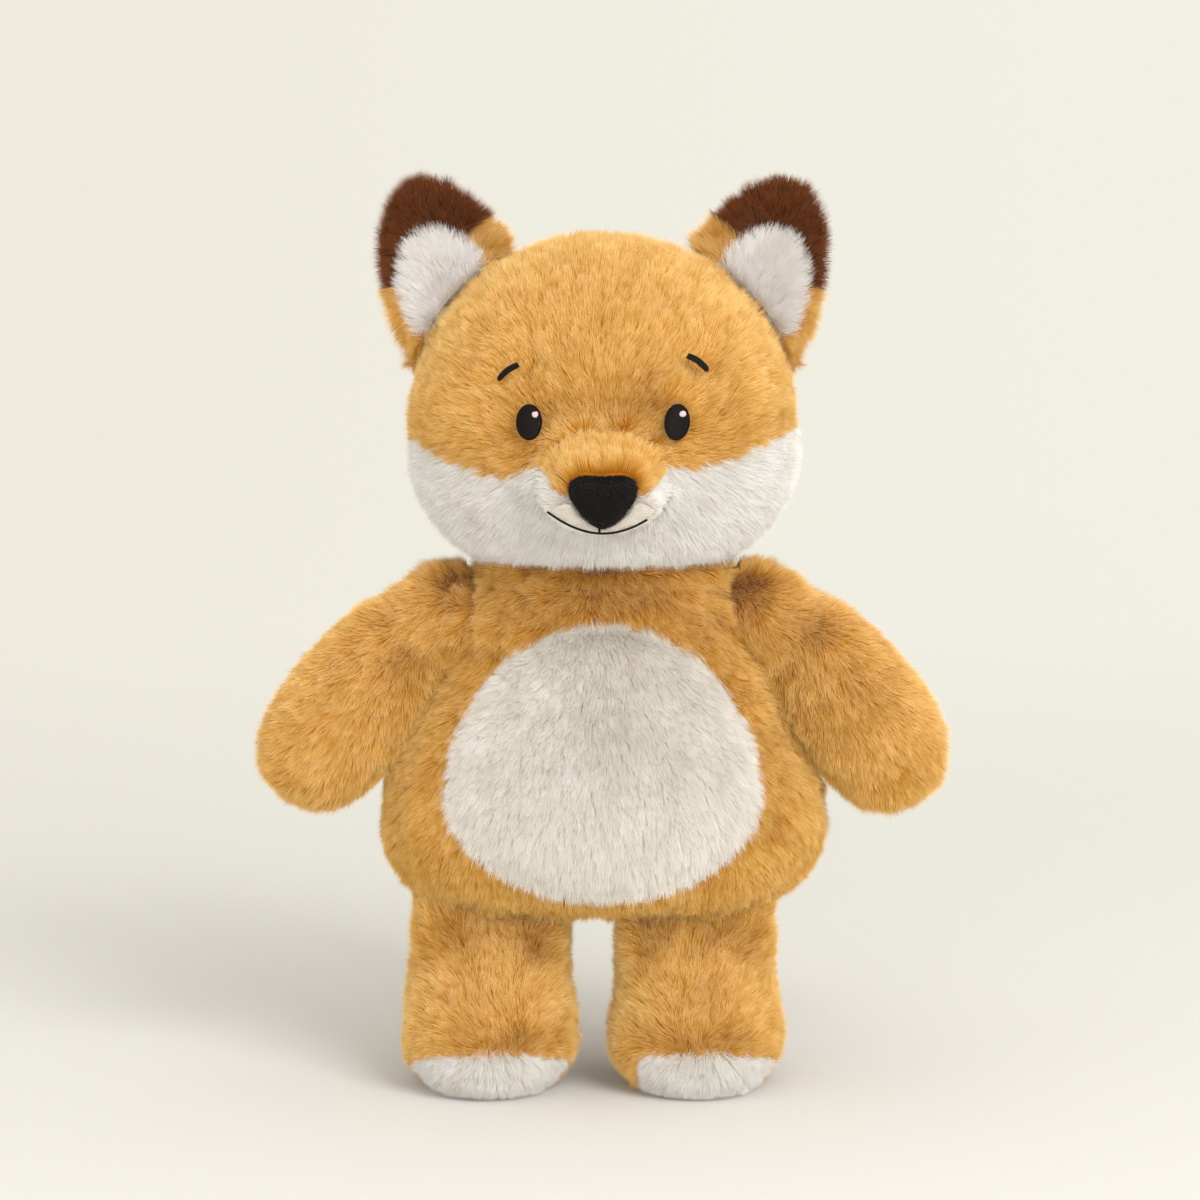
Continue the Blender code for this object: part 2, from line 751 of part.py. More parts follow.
def build_eyes(neck):
    """Stitched eyes, the glint in each, and the brows, as thin pads on the face."""
    cage = head_cage(TORSO_SIDES)
    skin = soft_cutter("head_skin", cage.copy(), PIECE_GAP)
    far = -2 * HEAD_HALF_DEPTH
    for side in (1, -1):
        name = side_name(side)
        x = side * EYE_SPREAD
        outline = oval_outline(x, EYE_HEIGHT, EYE_HALF_WIDTH, EYE_HALF_HEIGHT)
        region = add_cutter(f"eye_{name}_region", prism_mesh("eye_region", outline, far, 0))
        soft_piece(
            f"eye_{name}",
            cage.copy(),
            THREAD,
            neck,
            ("INTERSECT", region),
            ("DIFFERENCE", skin),
            distance=PIECE_GAP + EYE_THICKNESS,
        )
        above = soft_cutter(f"eye_{name}_skin", cage.copy(), 2 * PIECE_GAP + EYE_THICKNESS)
        outline = oval_outline(x + GLINT_SHIFT, EYE_HEIGHT + GLINT_RISE, GLINT_RADIUS, GLINT_RADIUS)
        region = add_cutter(f"glint_{name}_region", prism_mesh("glint_region", outline, far, 0))
        soft_piece(
            f"eye_{name}_glint",
            cage.copy(),
            GLINT,
            neck,
            ("INTERSECT", region),
            ("DIFFERENCE", above),
            distance=2 * PIECE_GAP + EYE_THICKNESS + GLINT_THICKNESS,
        )
        height = BROW_HEIGHT_LEFT if side > 0 else BROW_HEIGHT_RIGHT
        outline = oval_outline(
            side * BROW_SPREAD, height, BROW_HALF_LENGTH, BROW_HALF_WIDTH, -side * BROW_TILT
        )
        region = add_cutter(f"brow_{name}_region", prism_mesh("brow_region", outline, far, 0))
        soft_piece(
            f"brow_{name}",
            cage.copy(),
            THREAD,
            neck,
            ("INTERSECT", region),
            ("DIFFERENCE", skin),
            distance=PIECE_GAP + BROW_THICKNESS,
        )


def turned_hollows(name, make_cage, hinge, axis, reach):
    """The form a piece rests against, at rest and turned to both ends of the piece's joint."""
    hollows = []
    for number, turn in enumerate((0.0, reach, -reach)):
        mesh = make_cage(TORSO_SIDES)
        about = Matrix.Translation(hinge) @ Matrix.Rotation(turn, 4, axis)
        mesh.transform(about @ Matrix.Translation(-hinge))
        hollows.append(("DIFFERENCE", soft_cutter(f"{name}_{number}", mesh, PIECE_GAP)))
    return hollows


def ear_axis(side):
    """The base line of an ear, from its outer end up to its inner end."""
    outer, inner = EAR_RING_SHARES[0][2:4], EAR_RING_SHARES[0][0:2]
    across = side * (inner[0] - outer[0]) * EAR_WIDTH
    return Vector((across, 0, (inner[1] - outer[1]) * EAR_HEIGHT)).normalized()


def build_ear(side, neck):
    """Back, dark tip and pale lining. The base is hollowed for the head at both ends of the fold."""
    name = side_name(side)
    hinge = Vector((side * EAR_AXIS_X, EAR_AXIS_Y, EAR_AXIS_Z))
    joint = add_joint(f"ear_{name}_fold", hinge)
    cage = ear_cage(side, LIMB_SIDES)
    spare = turned_hollows(f"ear_{name}_head", head_cage, hinge, ear_axis(side), EAR_FOLD)
    middle = EAR_AXIS_Y
    front = half_region(f"ear_{name}_front", (None, None, None), (None, middle - PIECE_GAP / 2, None))
    rear = half_region(f"ear_{name}_rear", (None, middle + PIECE_GAP / 2, None), (None, None, None))
    top = EAR_AXIS_Z + EAR_HEIGHT - EAR_TIP_DROP
    tip = half_region(f"ear_{name}_top", (None, None, top + PIECE_GAP), (None, None, None))
    lower = half_region(f"ear_{name}_lower", (None, None, None), (None, None, top))
    back = [*spare, ("INTERSECT", rear), ("INTERSECT", lower)]
    soft_piece(f"ear_{name}_back", cage.copy(), ORANGE, joint, *back)
    soft_piece(f"ear_{name}_tip", cage.copy(), BROWN, joint, ("INTERSECT", rear), ("INTERSECT", tip))
    soft_piece(f"ear_{name}_lining", cage.copy(), WHITE, joint, *spare, ("INTERSECT", front))


def build_arm(side):
    """Front and back panels over stuffing, with a ball at the shoulder that sits in the torso."""
    name = side_name(side)
    shoulder = Vector((side * SHOULDER_X, SHOULDER_Y, SHOULDER_Z))
    joint = add_joint(f"arm_{name}_raise", shoulder)
    axis = Vector((0, 1, 0))
    ball = ball_cutter(f"arm_{name}_ball", shoulder, axis, ARM_SEAT_RADIUS)
    SOCKETS.append(
        ball_cutter(f"arm_{name}_socket", shoulder, axis, socket_radius(ARM_SEAT_RADIUS))
    )
    torso = soft_cutter(f"arm_{name}_torso_skin", torso_cage(TORSO_SIDES), PIECE_GAP)
    inside_mesh = arm_cage(side, INSIDE_SIDES, ARM_STUFFING_SHARE)
    lining = soft_cutter(f"arm_{name}_torso_lining", torso_cage(TORSO_SIDES), CLOTH)
    backing = soft_cutter(f"arm_{name}_torso_backing", torso_cage(TORSO_SIDES), CLOTH + PIECE_GAP)
    inside = combine(soft_cutter(f"arm_{name}_inside", inside_mesh), ("DIFFERENCE", lining))
    y = SHOULDER_Y
    front = half_region(f"arm_{name}_front", (None, None, None), (None, y - PIECE_GAP / 2, None))
    back = half_region(f"arm_{name}_back", (None, y + PIECE_GAP / 2, None), (None, None, None))
    shell = [("DIFFERENCE", torso), ("UNION", ball), ("DIFFERENCE", inside)]
    cage = arm_cage(side, LIMB_SIDES)
    soft_piece(f"arm_{name}_front_panel", cage.copy(), ORANGE, joint, *shell, ("INTERSECT", front))
    soft_piece(f"arm_{name}_back_panel", cage.copy(), ORANGE, joint, *shell, ("INTERSECT", back))
    soft_piece(
        f"arm_{name}_stuffing",
        inside_mesh.copy(),
        FILLING,
        joint,
        ("DIFFERENCE", backing),
        distance=-PIECE_GAP,
    )


def toe_outline(grow):
    """Side view of the space that a toe cap takes, as Y and Z."""
    front = -FOOT_FORWARD - FOOT_HALF_LENGTH
    return [
        (front - OVERRUN, -OVERRUN),
        (front - OVERRUN, TOE_CAP_HEIGHT + grow),
        (front, TOE_CAP_HEIGHT + grow),
        (front + TOE_CAP_LENGTH + grow, 0),
        (front + TOE_CAP_LENGTH + grow, -OVERRUN),
    ]


def toe_cutter(name, x, grow):
    mesh = prism_mesh(name, toe_outline(grow), -2 * LEG_HALF_WIDTH, 2 * LEG_HALF_WIDTH)
    turned = Matrix.Translation((x, 0, 0)) @ Matrix.Rotation(math.pi / 2, 4, "Z")
    mesh.transform(turned @ Matrix.Diagonal((1, -1, 1, 1)))
    mesh.flip_normals()
    return add_cutter(name, mesh)


def build_leg(side):
    """Outer and inner panels, white toe cap, sole and stuffing, with a drum at the hip."""
    name = side_name(side)
    x = STANCE_SHIFT + side * HIP_SPREAD
    hip = Vector((x, HIP_Y, HIP_Z))
    joint = add_joint(f"leg_{name}_swing", hip)
    drum = barrel_cutter(f"leg_{name}_drum", hip, HIP_SEAT_RADIUS, HIP_SEAT_HALF_LENGTH)
    SOCKETS.append(
        barrel_cutter(
            f"leg_{name}_socket",
            hip,
            socket_radius(HIP_SEAT_RADIUS),
            HIP_SEAT_HALF_LENGTH + PIECE_GAP,
        )
    )
    floor = half_region(f"leg_{name}_floor", (None, None, None), (None, None, 0))
    inside_mesh = leg_cage(side, INSIDE_SIDES, LEG_STUFFING_SHARE)
    inside = soft_cutter(f"leg_{name}_inside", inside_mesh)
    seam = SOLE_THICKNESS + PIECE_GAP
    sole = half_region(f"leg_{name}_sole_region", (None, None, None), (None, None, SOLE_THICKNESS))
    above = half_region(f"leg_{name}_sole_seam", (None, None, None), (None, None, seam))
    toe = toe_cutter(f"leg_{name}_toe_region", x, 0)
    toe_seam = toe_cutter(f"leg_{name}_toe_seam", x, PIECE_GAP)
    outer_side = (x + PIECE_GAP / 2, None) if side > 0 else (None, x - PIECE_GAP / 2)
    inner_side = (None, x - PIECE_GAP / 2) if side > 0 else (x + PIECE_GAP / 2, None)
    outer = half_region(f"leg_{name}_outer", (outer_side[0], None, None), (outer_side[1], None, None))
    inner = half_region(f"leg_{name}_inner", (inner_side[0], None, None), (inner_side[1], None, None))
    whole = [("DIFFERENCE", floor), ("UNION", drum)]
    shell = whole + [("DIFFERENCE", inside), ("DIFFERENCE", above)]
    cage = leg_cage(side, LIMB_SIDES)
    for label, region in (("outer", outer), ("inner", inner)):
        soft_piece(
            f"leg_{name}_{label}_panel",
            cage.copy(),
            ORANGE,
            joint,
            *shell,
            ("DIFFERENCE", toe_seam),
            ("INTERSECT", region),
        )
    soft_piece(f"toe_cap_{name}", cage.copy(), WHITE, joint, *shell, ("INTERSECT", toe))
    soft_piece(f"sole_{name}", cage.copy(), CREAM, joint, ("DIFFERENCE", floor), ("INTERSECT", sole))
    soft_piece(
        f"leg_{name}_stuffing",
        inside_mesh.copy(),
        FILLING,
        joint,
        ("DIFFERENCE", above),
        distance=-PIECE_GAP,
    )


def build_tail():
    """Orange skin with a white tip over stuffing, on a ball at the torso's back."""
    root = Vector((0, TAIL_Y, TAIL_Z))
    joint = add_joint("tail_wag", root)
    axis = Vector((0, 0, 1))
    ball = ball_cutter("tail_ball", root, axis, TAIL_SEAT_RADIUS)
    SOCKETS.append(ball_cutter("tail_socket", root, axis, socket_radius(TAIL_SEAT_RADIUS)))
    spare = turned_hollows("tail_torso", torso_cage, root, axis, TAIL_WAG)
    inside_mesh = tail_cage(TAIL_SIDES, TAIL_STUFFING_SHARE)
    lining = soft_cutter("tail_torso_lining", torso_cage(TORSO_SIDES), CLOTH)
    backing = soft_cutter("tail_torso_backing", torso_cage(TORSO_SIDES), CLOTH + PIECE_GAP)
    inside = combine(soft_cutter("tail_inside", inside_mesh), ("DIFFERENCE", lining))
    seam = TAIL_Y + TAIL_TIP_SHARE * TAIL_LENGTH
    near = half_region("tail_near", (None, None, None), (None, seam, None))
    far = half_region("tail_far", (None, seam + PIECE_GAP, None), (None, None, None))
    shell = [*spare, ("UNION", ball), ("DIFFERENCE", inside)]
    cage = tail_cage(TAIL_SIDES)
    soft_piece("tail_skin", cage.copy(), ORANGE, joint, *shell, ("INTERSECT", near))
    soft_piece("tail_tip", cage.copy(), WHITE, joint, *shell, ("INTERSECT", far))
    soft_piece(
        "tail_stuffing",
        inside_mesh.copy(),
        FILLING,
        joint,
        ("DIFFERENCE", backing),
        distance=-PIECE_GAP,
    )


def centre_on_origin():
    """Puts the origin at the bottom centre of the toy's box, half way from nose to tail."""
    bpy.context.view_layer.update()
    graph = bpy.context.evaluated_depsgraph_get()
    front = min(
        point[1] for point in bpy.data.objects["nose"].evaluated_get(graph).bound_box
    )
    rear = max(
        point[1] for point in bpy.data.objects["tail_tip"].evaluated_get(graph).bound_box
    )
    TOY.location.y = -(front + rear) / 2


clear_scene()
PIECES = new_collection("plush_fox")
CUTTERS = new_collection("cutters")
TOY = bpy.data.objects.new("toy", None)
PIECES.objects.link(TOY)
SOCKETS = []
ORANGE = new_material("orange plush", (0.60, 0.31, 0.07), 0.95)
WHITE = new_material("white plush", (0.78, 0.75, 0.68), 0.95)
CREAM = new_material("cream plush", (0.68, 0.62, 0.52), 0.95)
BROWN = new_material("dark brown plush", (0.10, 0.04, 0.015), 0.95)
NOSE_PLUSH = new_material("black short plush", (0.02, 0.017, 0.014), 0.85)
THREAD = new_material("dark embroidery thread", (0.02, 0.014, 0.010), 0.55)
GLINT = new_material("pale embroidery thread", (0.80, 0.70, 0.68), 0.55)
FILLING = new_material("polyester filling", (0.85, 0.85, 0.85), 1.0)

for each_side in (1, -1):
    build_arm(each_side)
    build_leg(each_side)
build_tail()
build_torso()
NECK = add_joint("head_turn", Vector((0, 0, NECK_HEIGHT)))
build_head(NECK)
build_muzzle(NECK)
build_eyes(NECK)
for each_side in (1, -1):
    build_ear(each_side, NECK)
centre_on_origin()
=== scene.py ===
"""Dresses a standing plush fox: stuffed forms, plush pile, stitched face, floor and light.

Metres throughout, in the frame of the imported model: +Z up, and the toy looks towards -Y.
Each stuffed form is the model's own solids, drawn in by the depth of the pile and blown up
as cloth. The pile on each sewn panel is real strands, scattered by Geometry Nodes.
"""

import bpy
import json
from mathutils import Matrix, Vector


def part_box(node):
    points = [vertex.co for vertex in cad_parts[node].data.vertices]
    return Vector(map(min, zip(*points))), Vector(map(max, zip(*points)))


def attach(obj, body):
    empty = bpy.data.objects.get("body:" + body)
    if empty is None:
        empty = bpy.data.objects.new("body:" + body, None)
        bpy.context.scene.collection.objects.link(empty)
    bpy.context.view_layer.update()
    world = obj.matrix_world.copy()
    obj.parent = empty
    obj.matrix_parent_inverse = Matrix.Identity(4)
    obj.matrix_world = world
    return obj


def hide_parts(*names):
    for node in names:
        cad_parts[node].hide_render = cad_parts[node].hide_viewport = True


bl_info = {
    "name": "Plush Fox",
    "version": (1, 0, 0),
    "blender": (4, 5, 0),
    "location": "View3D > Sidebar > Plush Fox",
    "description": "Makes the stuffed forms, pile and stitched face of a plush fox",
    "category": "Object",
}

import json
import math
from collections import namedtuple
from functools import partial

import bmesh
import bpy
import numpy as np
from bpy.props import FloatProperty, FloatVectorProperty, IntProperty, PointerProperty
from mathutils import Matrix, Vector
from mathutils.bvhtree import BVHTree

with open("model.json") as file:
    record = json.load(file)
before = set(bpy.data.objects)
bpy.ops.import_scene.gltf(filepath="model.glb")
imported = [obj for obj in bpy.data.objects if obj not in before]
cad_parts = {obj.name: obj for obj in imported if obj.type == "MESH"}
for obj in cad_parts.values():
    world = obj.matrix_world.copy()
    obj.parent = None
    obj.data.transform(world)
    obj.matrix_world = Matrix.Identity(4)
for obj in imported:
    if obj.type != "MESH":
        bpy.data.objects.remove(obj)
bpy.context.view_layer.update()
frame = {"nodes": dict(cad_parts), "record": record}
NODES = frame["nodes"]
BODY_OF = {node: body for body, nodes in frame["record"]["behaviour"]["bodies"].items() for node in nodes}

# Each stuffed form: the body that it rides on, the sewn panels that cover it, and the stuffing inside.
FORMS = {
    "torso": ("torso", ("torso_front_panel", "torso_back_panel", "belly_panel"), ("torso_stuffing",)),
    "head": (
        "head",
        ("head_face_panel", "head_back_panel", "cheek_panel", "muzzle_bridge", "muzzle_panel"),
        ("head_stuffing", "muzzle_stuffing"),
    ),
    "nose": ("head", ("nose",), ()),
    "lip": ("head", ("muzzle_lip",), ()),
    "tail": ("tail", ("tail_skin", "tail_tip"), ("tail_stuffing",)),
}
for hand in ("left", "right"):
    FORMS[f"arm_{hand}"] = (
        f"arm_{hand}",
        (f"arm_{hand}_front_panel", f"arm_{hand}_back_panel"),
        (f"arm_{hand}_stuffing",),
    )
    FORMS[f"leg_{hand}"] = (
        f"leg_{hand}",
        (f"leg_{hand}_outer_panel", f"leg_{hand}_inner_panel", f"toe_cap_{hand}", f"sole_{hand}"),
        (f"leg_{hand}_stuffing",),
    )
    FORMS[f"ear_{hand}"] = (
        f"ear_{hand}",
        (f"ear_{hand}_back", f"ear_{hand}_tip", f"ear_{hand}_lining"),
        (),
    )
STITCHED = ("eye_left", "eye_right", "brow_left", "brow_right", "mouth_stitch")
SEWN_ON = ("nose", "muzzle_lip")
CLEAR_OF = {"head": STITCHED + ("nose", "muzzle_lip"), "lip": ("nose", "mouth_stitch")}

# How the pile lies on a panel. Length is a share of the usual one and fine makes strands narrower
# and closer. It is combed away from a point by a strength, and towards a direction. Near a stitched
# piece it leans away by shy, and tone is painted light or shade over the whole panel: deeper on the
# torso, which lies in shade, and paler on the arms, which catch the light from above.
Pile = namedtuple("Pile", "finish length fine away spread towards shy tone", defaults=(0.9, 0.0))
PILES = {
    "head_face_panel": Pile("orange", 0.95, 1.0, (0.0, -0.080, 0.238), 1.15, (0.0, 0.0, 0.25)),
    "head_back_panel": Pile("orange", 1.0, 1.0, (0.0, 0.0, 0.30), 0.4, (0.0, 0.2, -0.8)),
    "cheek_panel": Pile("white", 0.95, 1.0, (0.0, -0.075, 0.232), 1.0, (0.0, 0.1, -0.5)),
    "muzzle_bridge": Pile("orange", 0.95, 1.8, (0.0, -0.118, 0.205), 1.1, (0.0, 0.6, 0.5), 0.0),
    "muzzle_panel": Pile("white", 0.70, 1.2, (0.0, -0.110, 0.226), 0.9, (0.0, 0.2, -0.3)),
    "muzzle_lip": Pile("lip", 1.8, 1.0, (0.0, -0.115, 0.222), 0.8, (0.0, 0.0, -0.2), 0.3),
    "nose": Pile("nose", 1.0, 1.0, (0.0, -0.080, 0.230), 0.6, (0.0, 0.0, -0.2), 0.0),
    # The torso's negative tones are painted shade.
    "torso_front_panel": Pile("orange", 0.90, 1.0, (0.0, -0.10, 0.15), 0.45, (0.0, 0.0, -1.05), 0.9, -0.18),
    "torso_back_panel": Pile("orange", 1.0, 0.78, (0.0, 0.10, 0.15), 0.45, (0.0, 0.0, -1.05), 0.9, -0.10),
    "belly_panel": Pile("cream", 0.80, 1.4, (0.0, -0.10, 0.15), 0.35, (0.0, 0.0, -1.0)),
    "tail_skin": Pile("orange", 1.1, 1.0, (0.0, 0.0, 0.08), 0.6, (0.0, 0.6, 0.1)),
    "tail_tip": Pile("white", 1.1, 1.0, (0.0, 0.05, 0.09), 0.8, (0.0, 0.4, 0.4)),
}
for hand, way in (("left", 1), ("right", -1)):
    for side, depth in (("front", -0.10), ("back", 0.10)):
        # The arms' positive tone is painted light.
        PILES[f"arm_{hand}_{side}_panel"] = Pile(
            "orange", 1.0, 1.0, (way * 0.085, depth, 0.16), 0.35, (way * 0.75, 0.0, -0.85), 0.9, 0.08
        )
    for side in ("outer", "inner"):
        PILES[f"leg_{hand}_{side}_panel"] = Pile(
            "orange", 0.90, 1.1, (way * 0.036, -0.115, 0.034), 0.8, (way * 0.20, 0.10, 0.42)
        )
    PILES[f"toe_cap_{hand}"] = Pile("white", 0.75, 1.4, (way * 0.038, -0.088, 0.030), 0.8, (0.0, 0.2, -0.5))
    PILES[f"sole_{hand}"] = Pile("sole", 1.4, 1.0, (way * 0.038, -0.05, 0.03), 0.1, (0.0, 0.0, 0.0))
    ear_middle = (way * 0.060, -0.020, 0.290)
    PILES[f"ear_{hand}_back"] = Pile("orange", 1.10, 1.6, ear_middle, 1.1, (0.0, 0.0, -0.2))
    PILES[f"ear_{hand}_tip"] = Pile("brown", 1.10, 1.8, (way * 0.060, -0.020, 0.302), 1.0, (0.0, 0.0, 0.0))
    lining_middle = (way * 0.048, -0.025, 0.272)
    PILES[f"ear_{hand}_lining"] = Pile("lining", 0.95, 1.8, lining_middle, 0.9, (0.0, 0.0, 0.1))
# On an ear, as distance from the middle and height: the white fills an oval on the front, and the
# rest is brown above a line through two points.
EAR_WHITE_MIDDLE = Vector((0.0532, 0.2860))
EAR_WHITE_ALONG = Vector((0.436, 0.900))
EAR_WHITE_LONG = 0.0320
EAR_WHITE_WIDE = 0.0184
EAR_BROWN_OUTER = Vector((0.0814, 0.2890))
EAR_BROWN_INNER = Vector((0.0418, 0.3180))
# The white of a toe fills a quarter of an oval, from its front up to its top and back along the floor.
TOE_TOP = 0.0185
TOE_FRONT = -0.0980
TOE_BACK = -0.0520
TOE_INNER = 0.0150

# The finishes of the pile, and what the stuff is.
FINISHES = {
    "orange": "orange brushed polyester plush",
    "white": "white brushed polyester plush",
    # The ears' lining is the same white plush, painted lighter against the shade that falls in the ears.
    "lining": "white brushed polyester plush painted lighter",
    "cream": "cream brushed polyester plush",
    "brown": "dark brown brushed polyester plush",
    "nose": "black polyester velour",
    "lip": "cream polyester velour",
    "sole": "tan polyester velour",
}
VELOURS = ("nose", "lip", "sole")
# What the darkest and the palest strands' colours are multiplied by. The tone between them is partly
# chance and partly painted light and shade, so the deep end also stands in for shade.
DEEP_AND_LIGHT = {
    "orange": ((0.84, 0.75, 0.52), (1.12, 1.18, 1.34)),
    "pale": ((0.90, 0.88, 0.84), (1.06, 1.07, 1.09)),
}
# Where along a strand the colour of its root ends, its own colour lies and the colour of its tip starts.
ROOT_END = 0.12
MIDDLE_PLACE = 0.58
TIP_START = 0.96
MATERIALS = {}

# The kinds of node that the trees use most.
MATH = "ShaderNodeMath"
VECTOR = "ShaderNodeVectorMath"
MAP_RANGE = "ShaderNodeMapRange"
COMBINE = "ShaderNodeCombineXYZ"
SEPARATE = "ShaderNodeSeparateXYZ"
RANDOM = "FunctionNodeRandomValue"
ATTRIBUTE = "GeometryNodeInputNamedAttribute"
STORE = "GeometryNodeStoreNamedAttribute"

# The inputs of each tree besides its geometry, by kind.
PILE_SIZES = ("Density", "Length", "Width", "Lay", "Lock Size", "Lock Pull", "Swirl Size", "Swirl")
PILE_INPUTS = {
    "Object": ("Trims", "Strand"),
    "Int": ("Panel", "Seed"),
    "Float": PILE_SIZES + ("Spread", "Clear Of Trims", "Tone", "Room From"),
    "Vector": ("Away From", "Towards"),
    "Material": ("Finish",),
}
SATIN_INPUTS = {
    "Object": ("Thread",),
    "Float": ("Across", "Height", "Dome", "Bow", "Blunt", "Thickness"),
    "Int": ("Seed",),
    "Material": ("Finish",),
}
LINE_INPUTS = {"Object": ("Thread",), "Float": ("Step", "Stitch", "Thickness"), "Material": ("Finish",)}

# Forms: a distance past the toy, rounds of smoothing, and where the cloth is less drawn in, which is
# near another body and, on the head, near the pieces that are sewn on.
FAR = 1.0
SMOOTHINGS = 3
TOUCH_NEAR = 0.0010
TOUCH_FAR = 0.0080
SEWN_NEAR = 0.0020
SEWN_FAR = 0.0090
# How far down the cloth faces at the edge of a sole and on it.
SOLE_EDGE = 0.4
SOLE_FLAT = 0.9

# Pile where it is pressed: the room over which it thins out, the share left and its reach.
ROOM_SPAN = 0.0014
PRESSED_SHARE = 0.45
PRESSED_LENGTH = 0.0050
LEAST_PILE = 0.0045
# Pile near a stitched piece: how far below one it looks, in strands, where it leans away, and how much
# shorter it is there.
UNDER_SHARE = 0.6
TRIM_NEAR = 0.0035
TRIM_FAR = 0.0100
TRIM_CUT = 0.45
# How the pile lies: the size and strength of its swirls, the least slope, how far strands stray, and
# their lengths by strand and by lock.
SWIRLS = ((1.0, 1.0), (0.38, 0.9))
LEAST_LEAN = 0.75
STRAY = 0.30
STRAND_LENGTHS = (0.72, 1.12)
LOCK_LENGTHS = (0.86, 1.10)
# The pile's tones: turns of the slow change in a metre, and the parts of the strand, the lock and the
# rise. The rise is painted light, paler where the cloth faces up and deeper where it faces down, and
# goes from its lowest to its highest between two heights of the cloth's normal.
SLOW_TURNS = 55.0
STRAND_TONE = 0.15
LOCK_TONE = 0.24
PAINTED_TOP_LIGHT_TONE = 0.24
PAINTED_TOP_LIGHT_RISES = (-0.3, 0.8)
# Strands: the lowest tip, the lean of the shade's normal, the part that says which panel a strand is
# over, how far that strays, and the turn of the flat side.
OVER_FLOOR = 0.0002
SHADE_LEAN = 0.2
UPPER_SHARE = 0.75
SEAM_STRAY = 0.0010
FLAT_SHARE = (1.0, 2.2, 1.0)
FLAT_TURN = (0.0, -0.45, 0.0)
STRAND_NOTES = {"tone": "FLOAT", "along": "FLOAT", "shade": "FLOAT_VECTOR"}
# Shares of the pull and of the swirls that short and pale pile keep.
VELOUR_PULL = 0.1
PALE_SWIRL = 0.3

# Embroidery: the thread's outline, its pitch in thicknesses, and how unlike the threads' lengths are.
THREAD_SIDES = 5
THREAD_RINGS = ((-0.5, 0.25), (-0.47, 0.75), (-0.38, 1.0), (0.0, 1.0), (0.38, 1.0), (0.47, 0.75), (0.5, 0.25))
THREAD_PITCH = 0.8
THREAD_LENGTHS = (0.95, 1.05)
# How far glints and brows swell and stand forwards, and how thick their thread is to the usual one.
SMALL_DOME = 0.0006
SMALL_LIFT = 0.0012
GLINT_THREAD = 1.1
BROW_THREAD = 1.2
GLINT_SHARE = 0.85
BROW_BLUNT = 4.0
# The raised rim of an eye, in its own thickness: the room it takes across and up, its step and stitch.
RIM_ACROSS = 1.8
RIM_UP = 1.3
RIM_STEP = 0.8
RIM_STITCH = 1.8
RIM_STEPS = 40
# The mouth's line: its points, and the powers that follow its height and its depth.
MOUTH_STEPS = 22
MOUTH_UP_POWER = 4
MOUTH_BACK_POWER = 2

# Stage: half the backdrop's width, its reach to the front and rear, the radius of its sweep, its height
# and the faces of the sweep.
BACKDROP = (3.0, 1.6, 2.6, 0.6)
BACKDROP_HEIGHT = 3.0
SWEEP_STEPS = 16
# Where the paper turns to evenly lit paper, as distance behind the toy, and half the width over which
# its colour changes, from darker on the left to lighter on the right, which is painted light from the right.
FAR_FROM = 0.05
FAR_TO = 1.3
FAR_SIDE = 0.4
# Each lamp's place and width.
KEY_LAMP = ((1.30, -2.20, 1.70), 1.5)
FRONT_LAMP = ((-0.40, -2.6, 0.26), 1.8)
CLIP_END = 20.0


def linear(code):
    """An sRGB hex colour as linear red, green and blue."""
    shares = [int(code[at : at + 2], 16) / 255 for at in (1, 3, 5)]
    return tuple(v / 12.92 if v <= 0.04045 else ((v + 0.055) / 1.055) ** 2.4 for v in shares)


def colour_setting(name, code, description):
    return FloatVectorProperty(
        name=name, description=description, subtype="COLOR", size=3, min=0.0, max=1.0, default=linear(code)
    )


def length_setting(name, default, description):
    return FloatProperty(
        name=name, description=description, default=default, min=0.0, unit="LENGTH", precision=5
    )


class PlushFoxForms(bpy.types.PropertyGroup):
    """Sizes of the stuffed forms under the pile."""

    voxel: length_setting("Voxel", 0.004, "Grid on which a form is remeshed before it is blown up")
    ear_voxel: length_setting("Ear Voxel", 0.0025, "The same grid on the thin ears")
    small_voxel: length_setting("Small Voxel", 0.0009, "The same grid on the nose and lip")
    bed: length_setting("Pile Bed", 0.0026, "How far the cloth lies inside the ends of the pile")
    ear_bed: length_setting("Ear Pile Bed", 0.0026, "The same depth on the thin ears")
    arm_bed: length_setting("Arm Pile Bed", 0.0004, "The same depth on the arms, whose pile is fuller")
    velour_bed: length_setting("Velour Bed", 0.0002, "The same depth under short pile")
    touch_bed: length_setting("Touching Bed", 0.0007, "How far the cloth is drawn in where it touches")
    sole_bed: length_setting("Sole Bed", 0.0011, "How far the soles' cloth lies above the floor")
    swell: length_setting("Swell", 0.0016, "How much smaller a form starts before it is blown up")
    most_swell: length_setting("Most Swell", 0.0030, "The furthest that a point may move as it swells")
    pressure: FloatProperty(name="Pressure", description="Push of the stuffing", default=4.0, min=0.0)
    frames: IntProperty(name="Frames", description="Steps that the cloth is blown up for", default=20, min=1)
    crease: length_setting("Seam Depth", 0.0016, "How deep a seam pulls the cloth in")
    crease_width: length_setting("Seam Width", 0.0028, "Half the width of the dip at a seam")


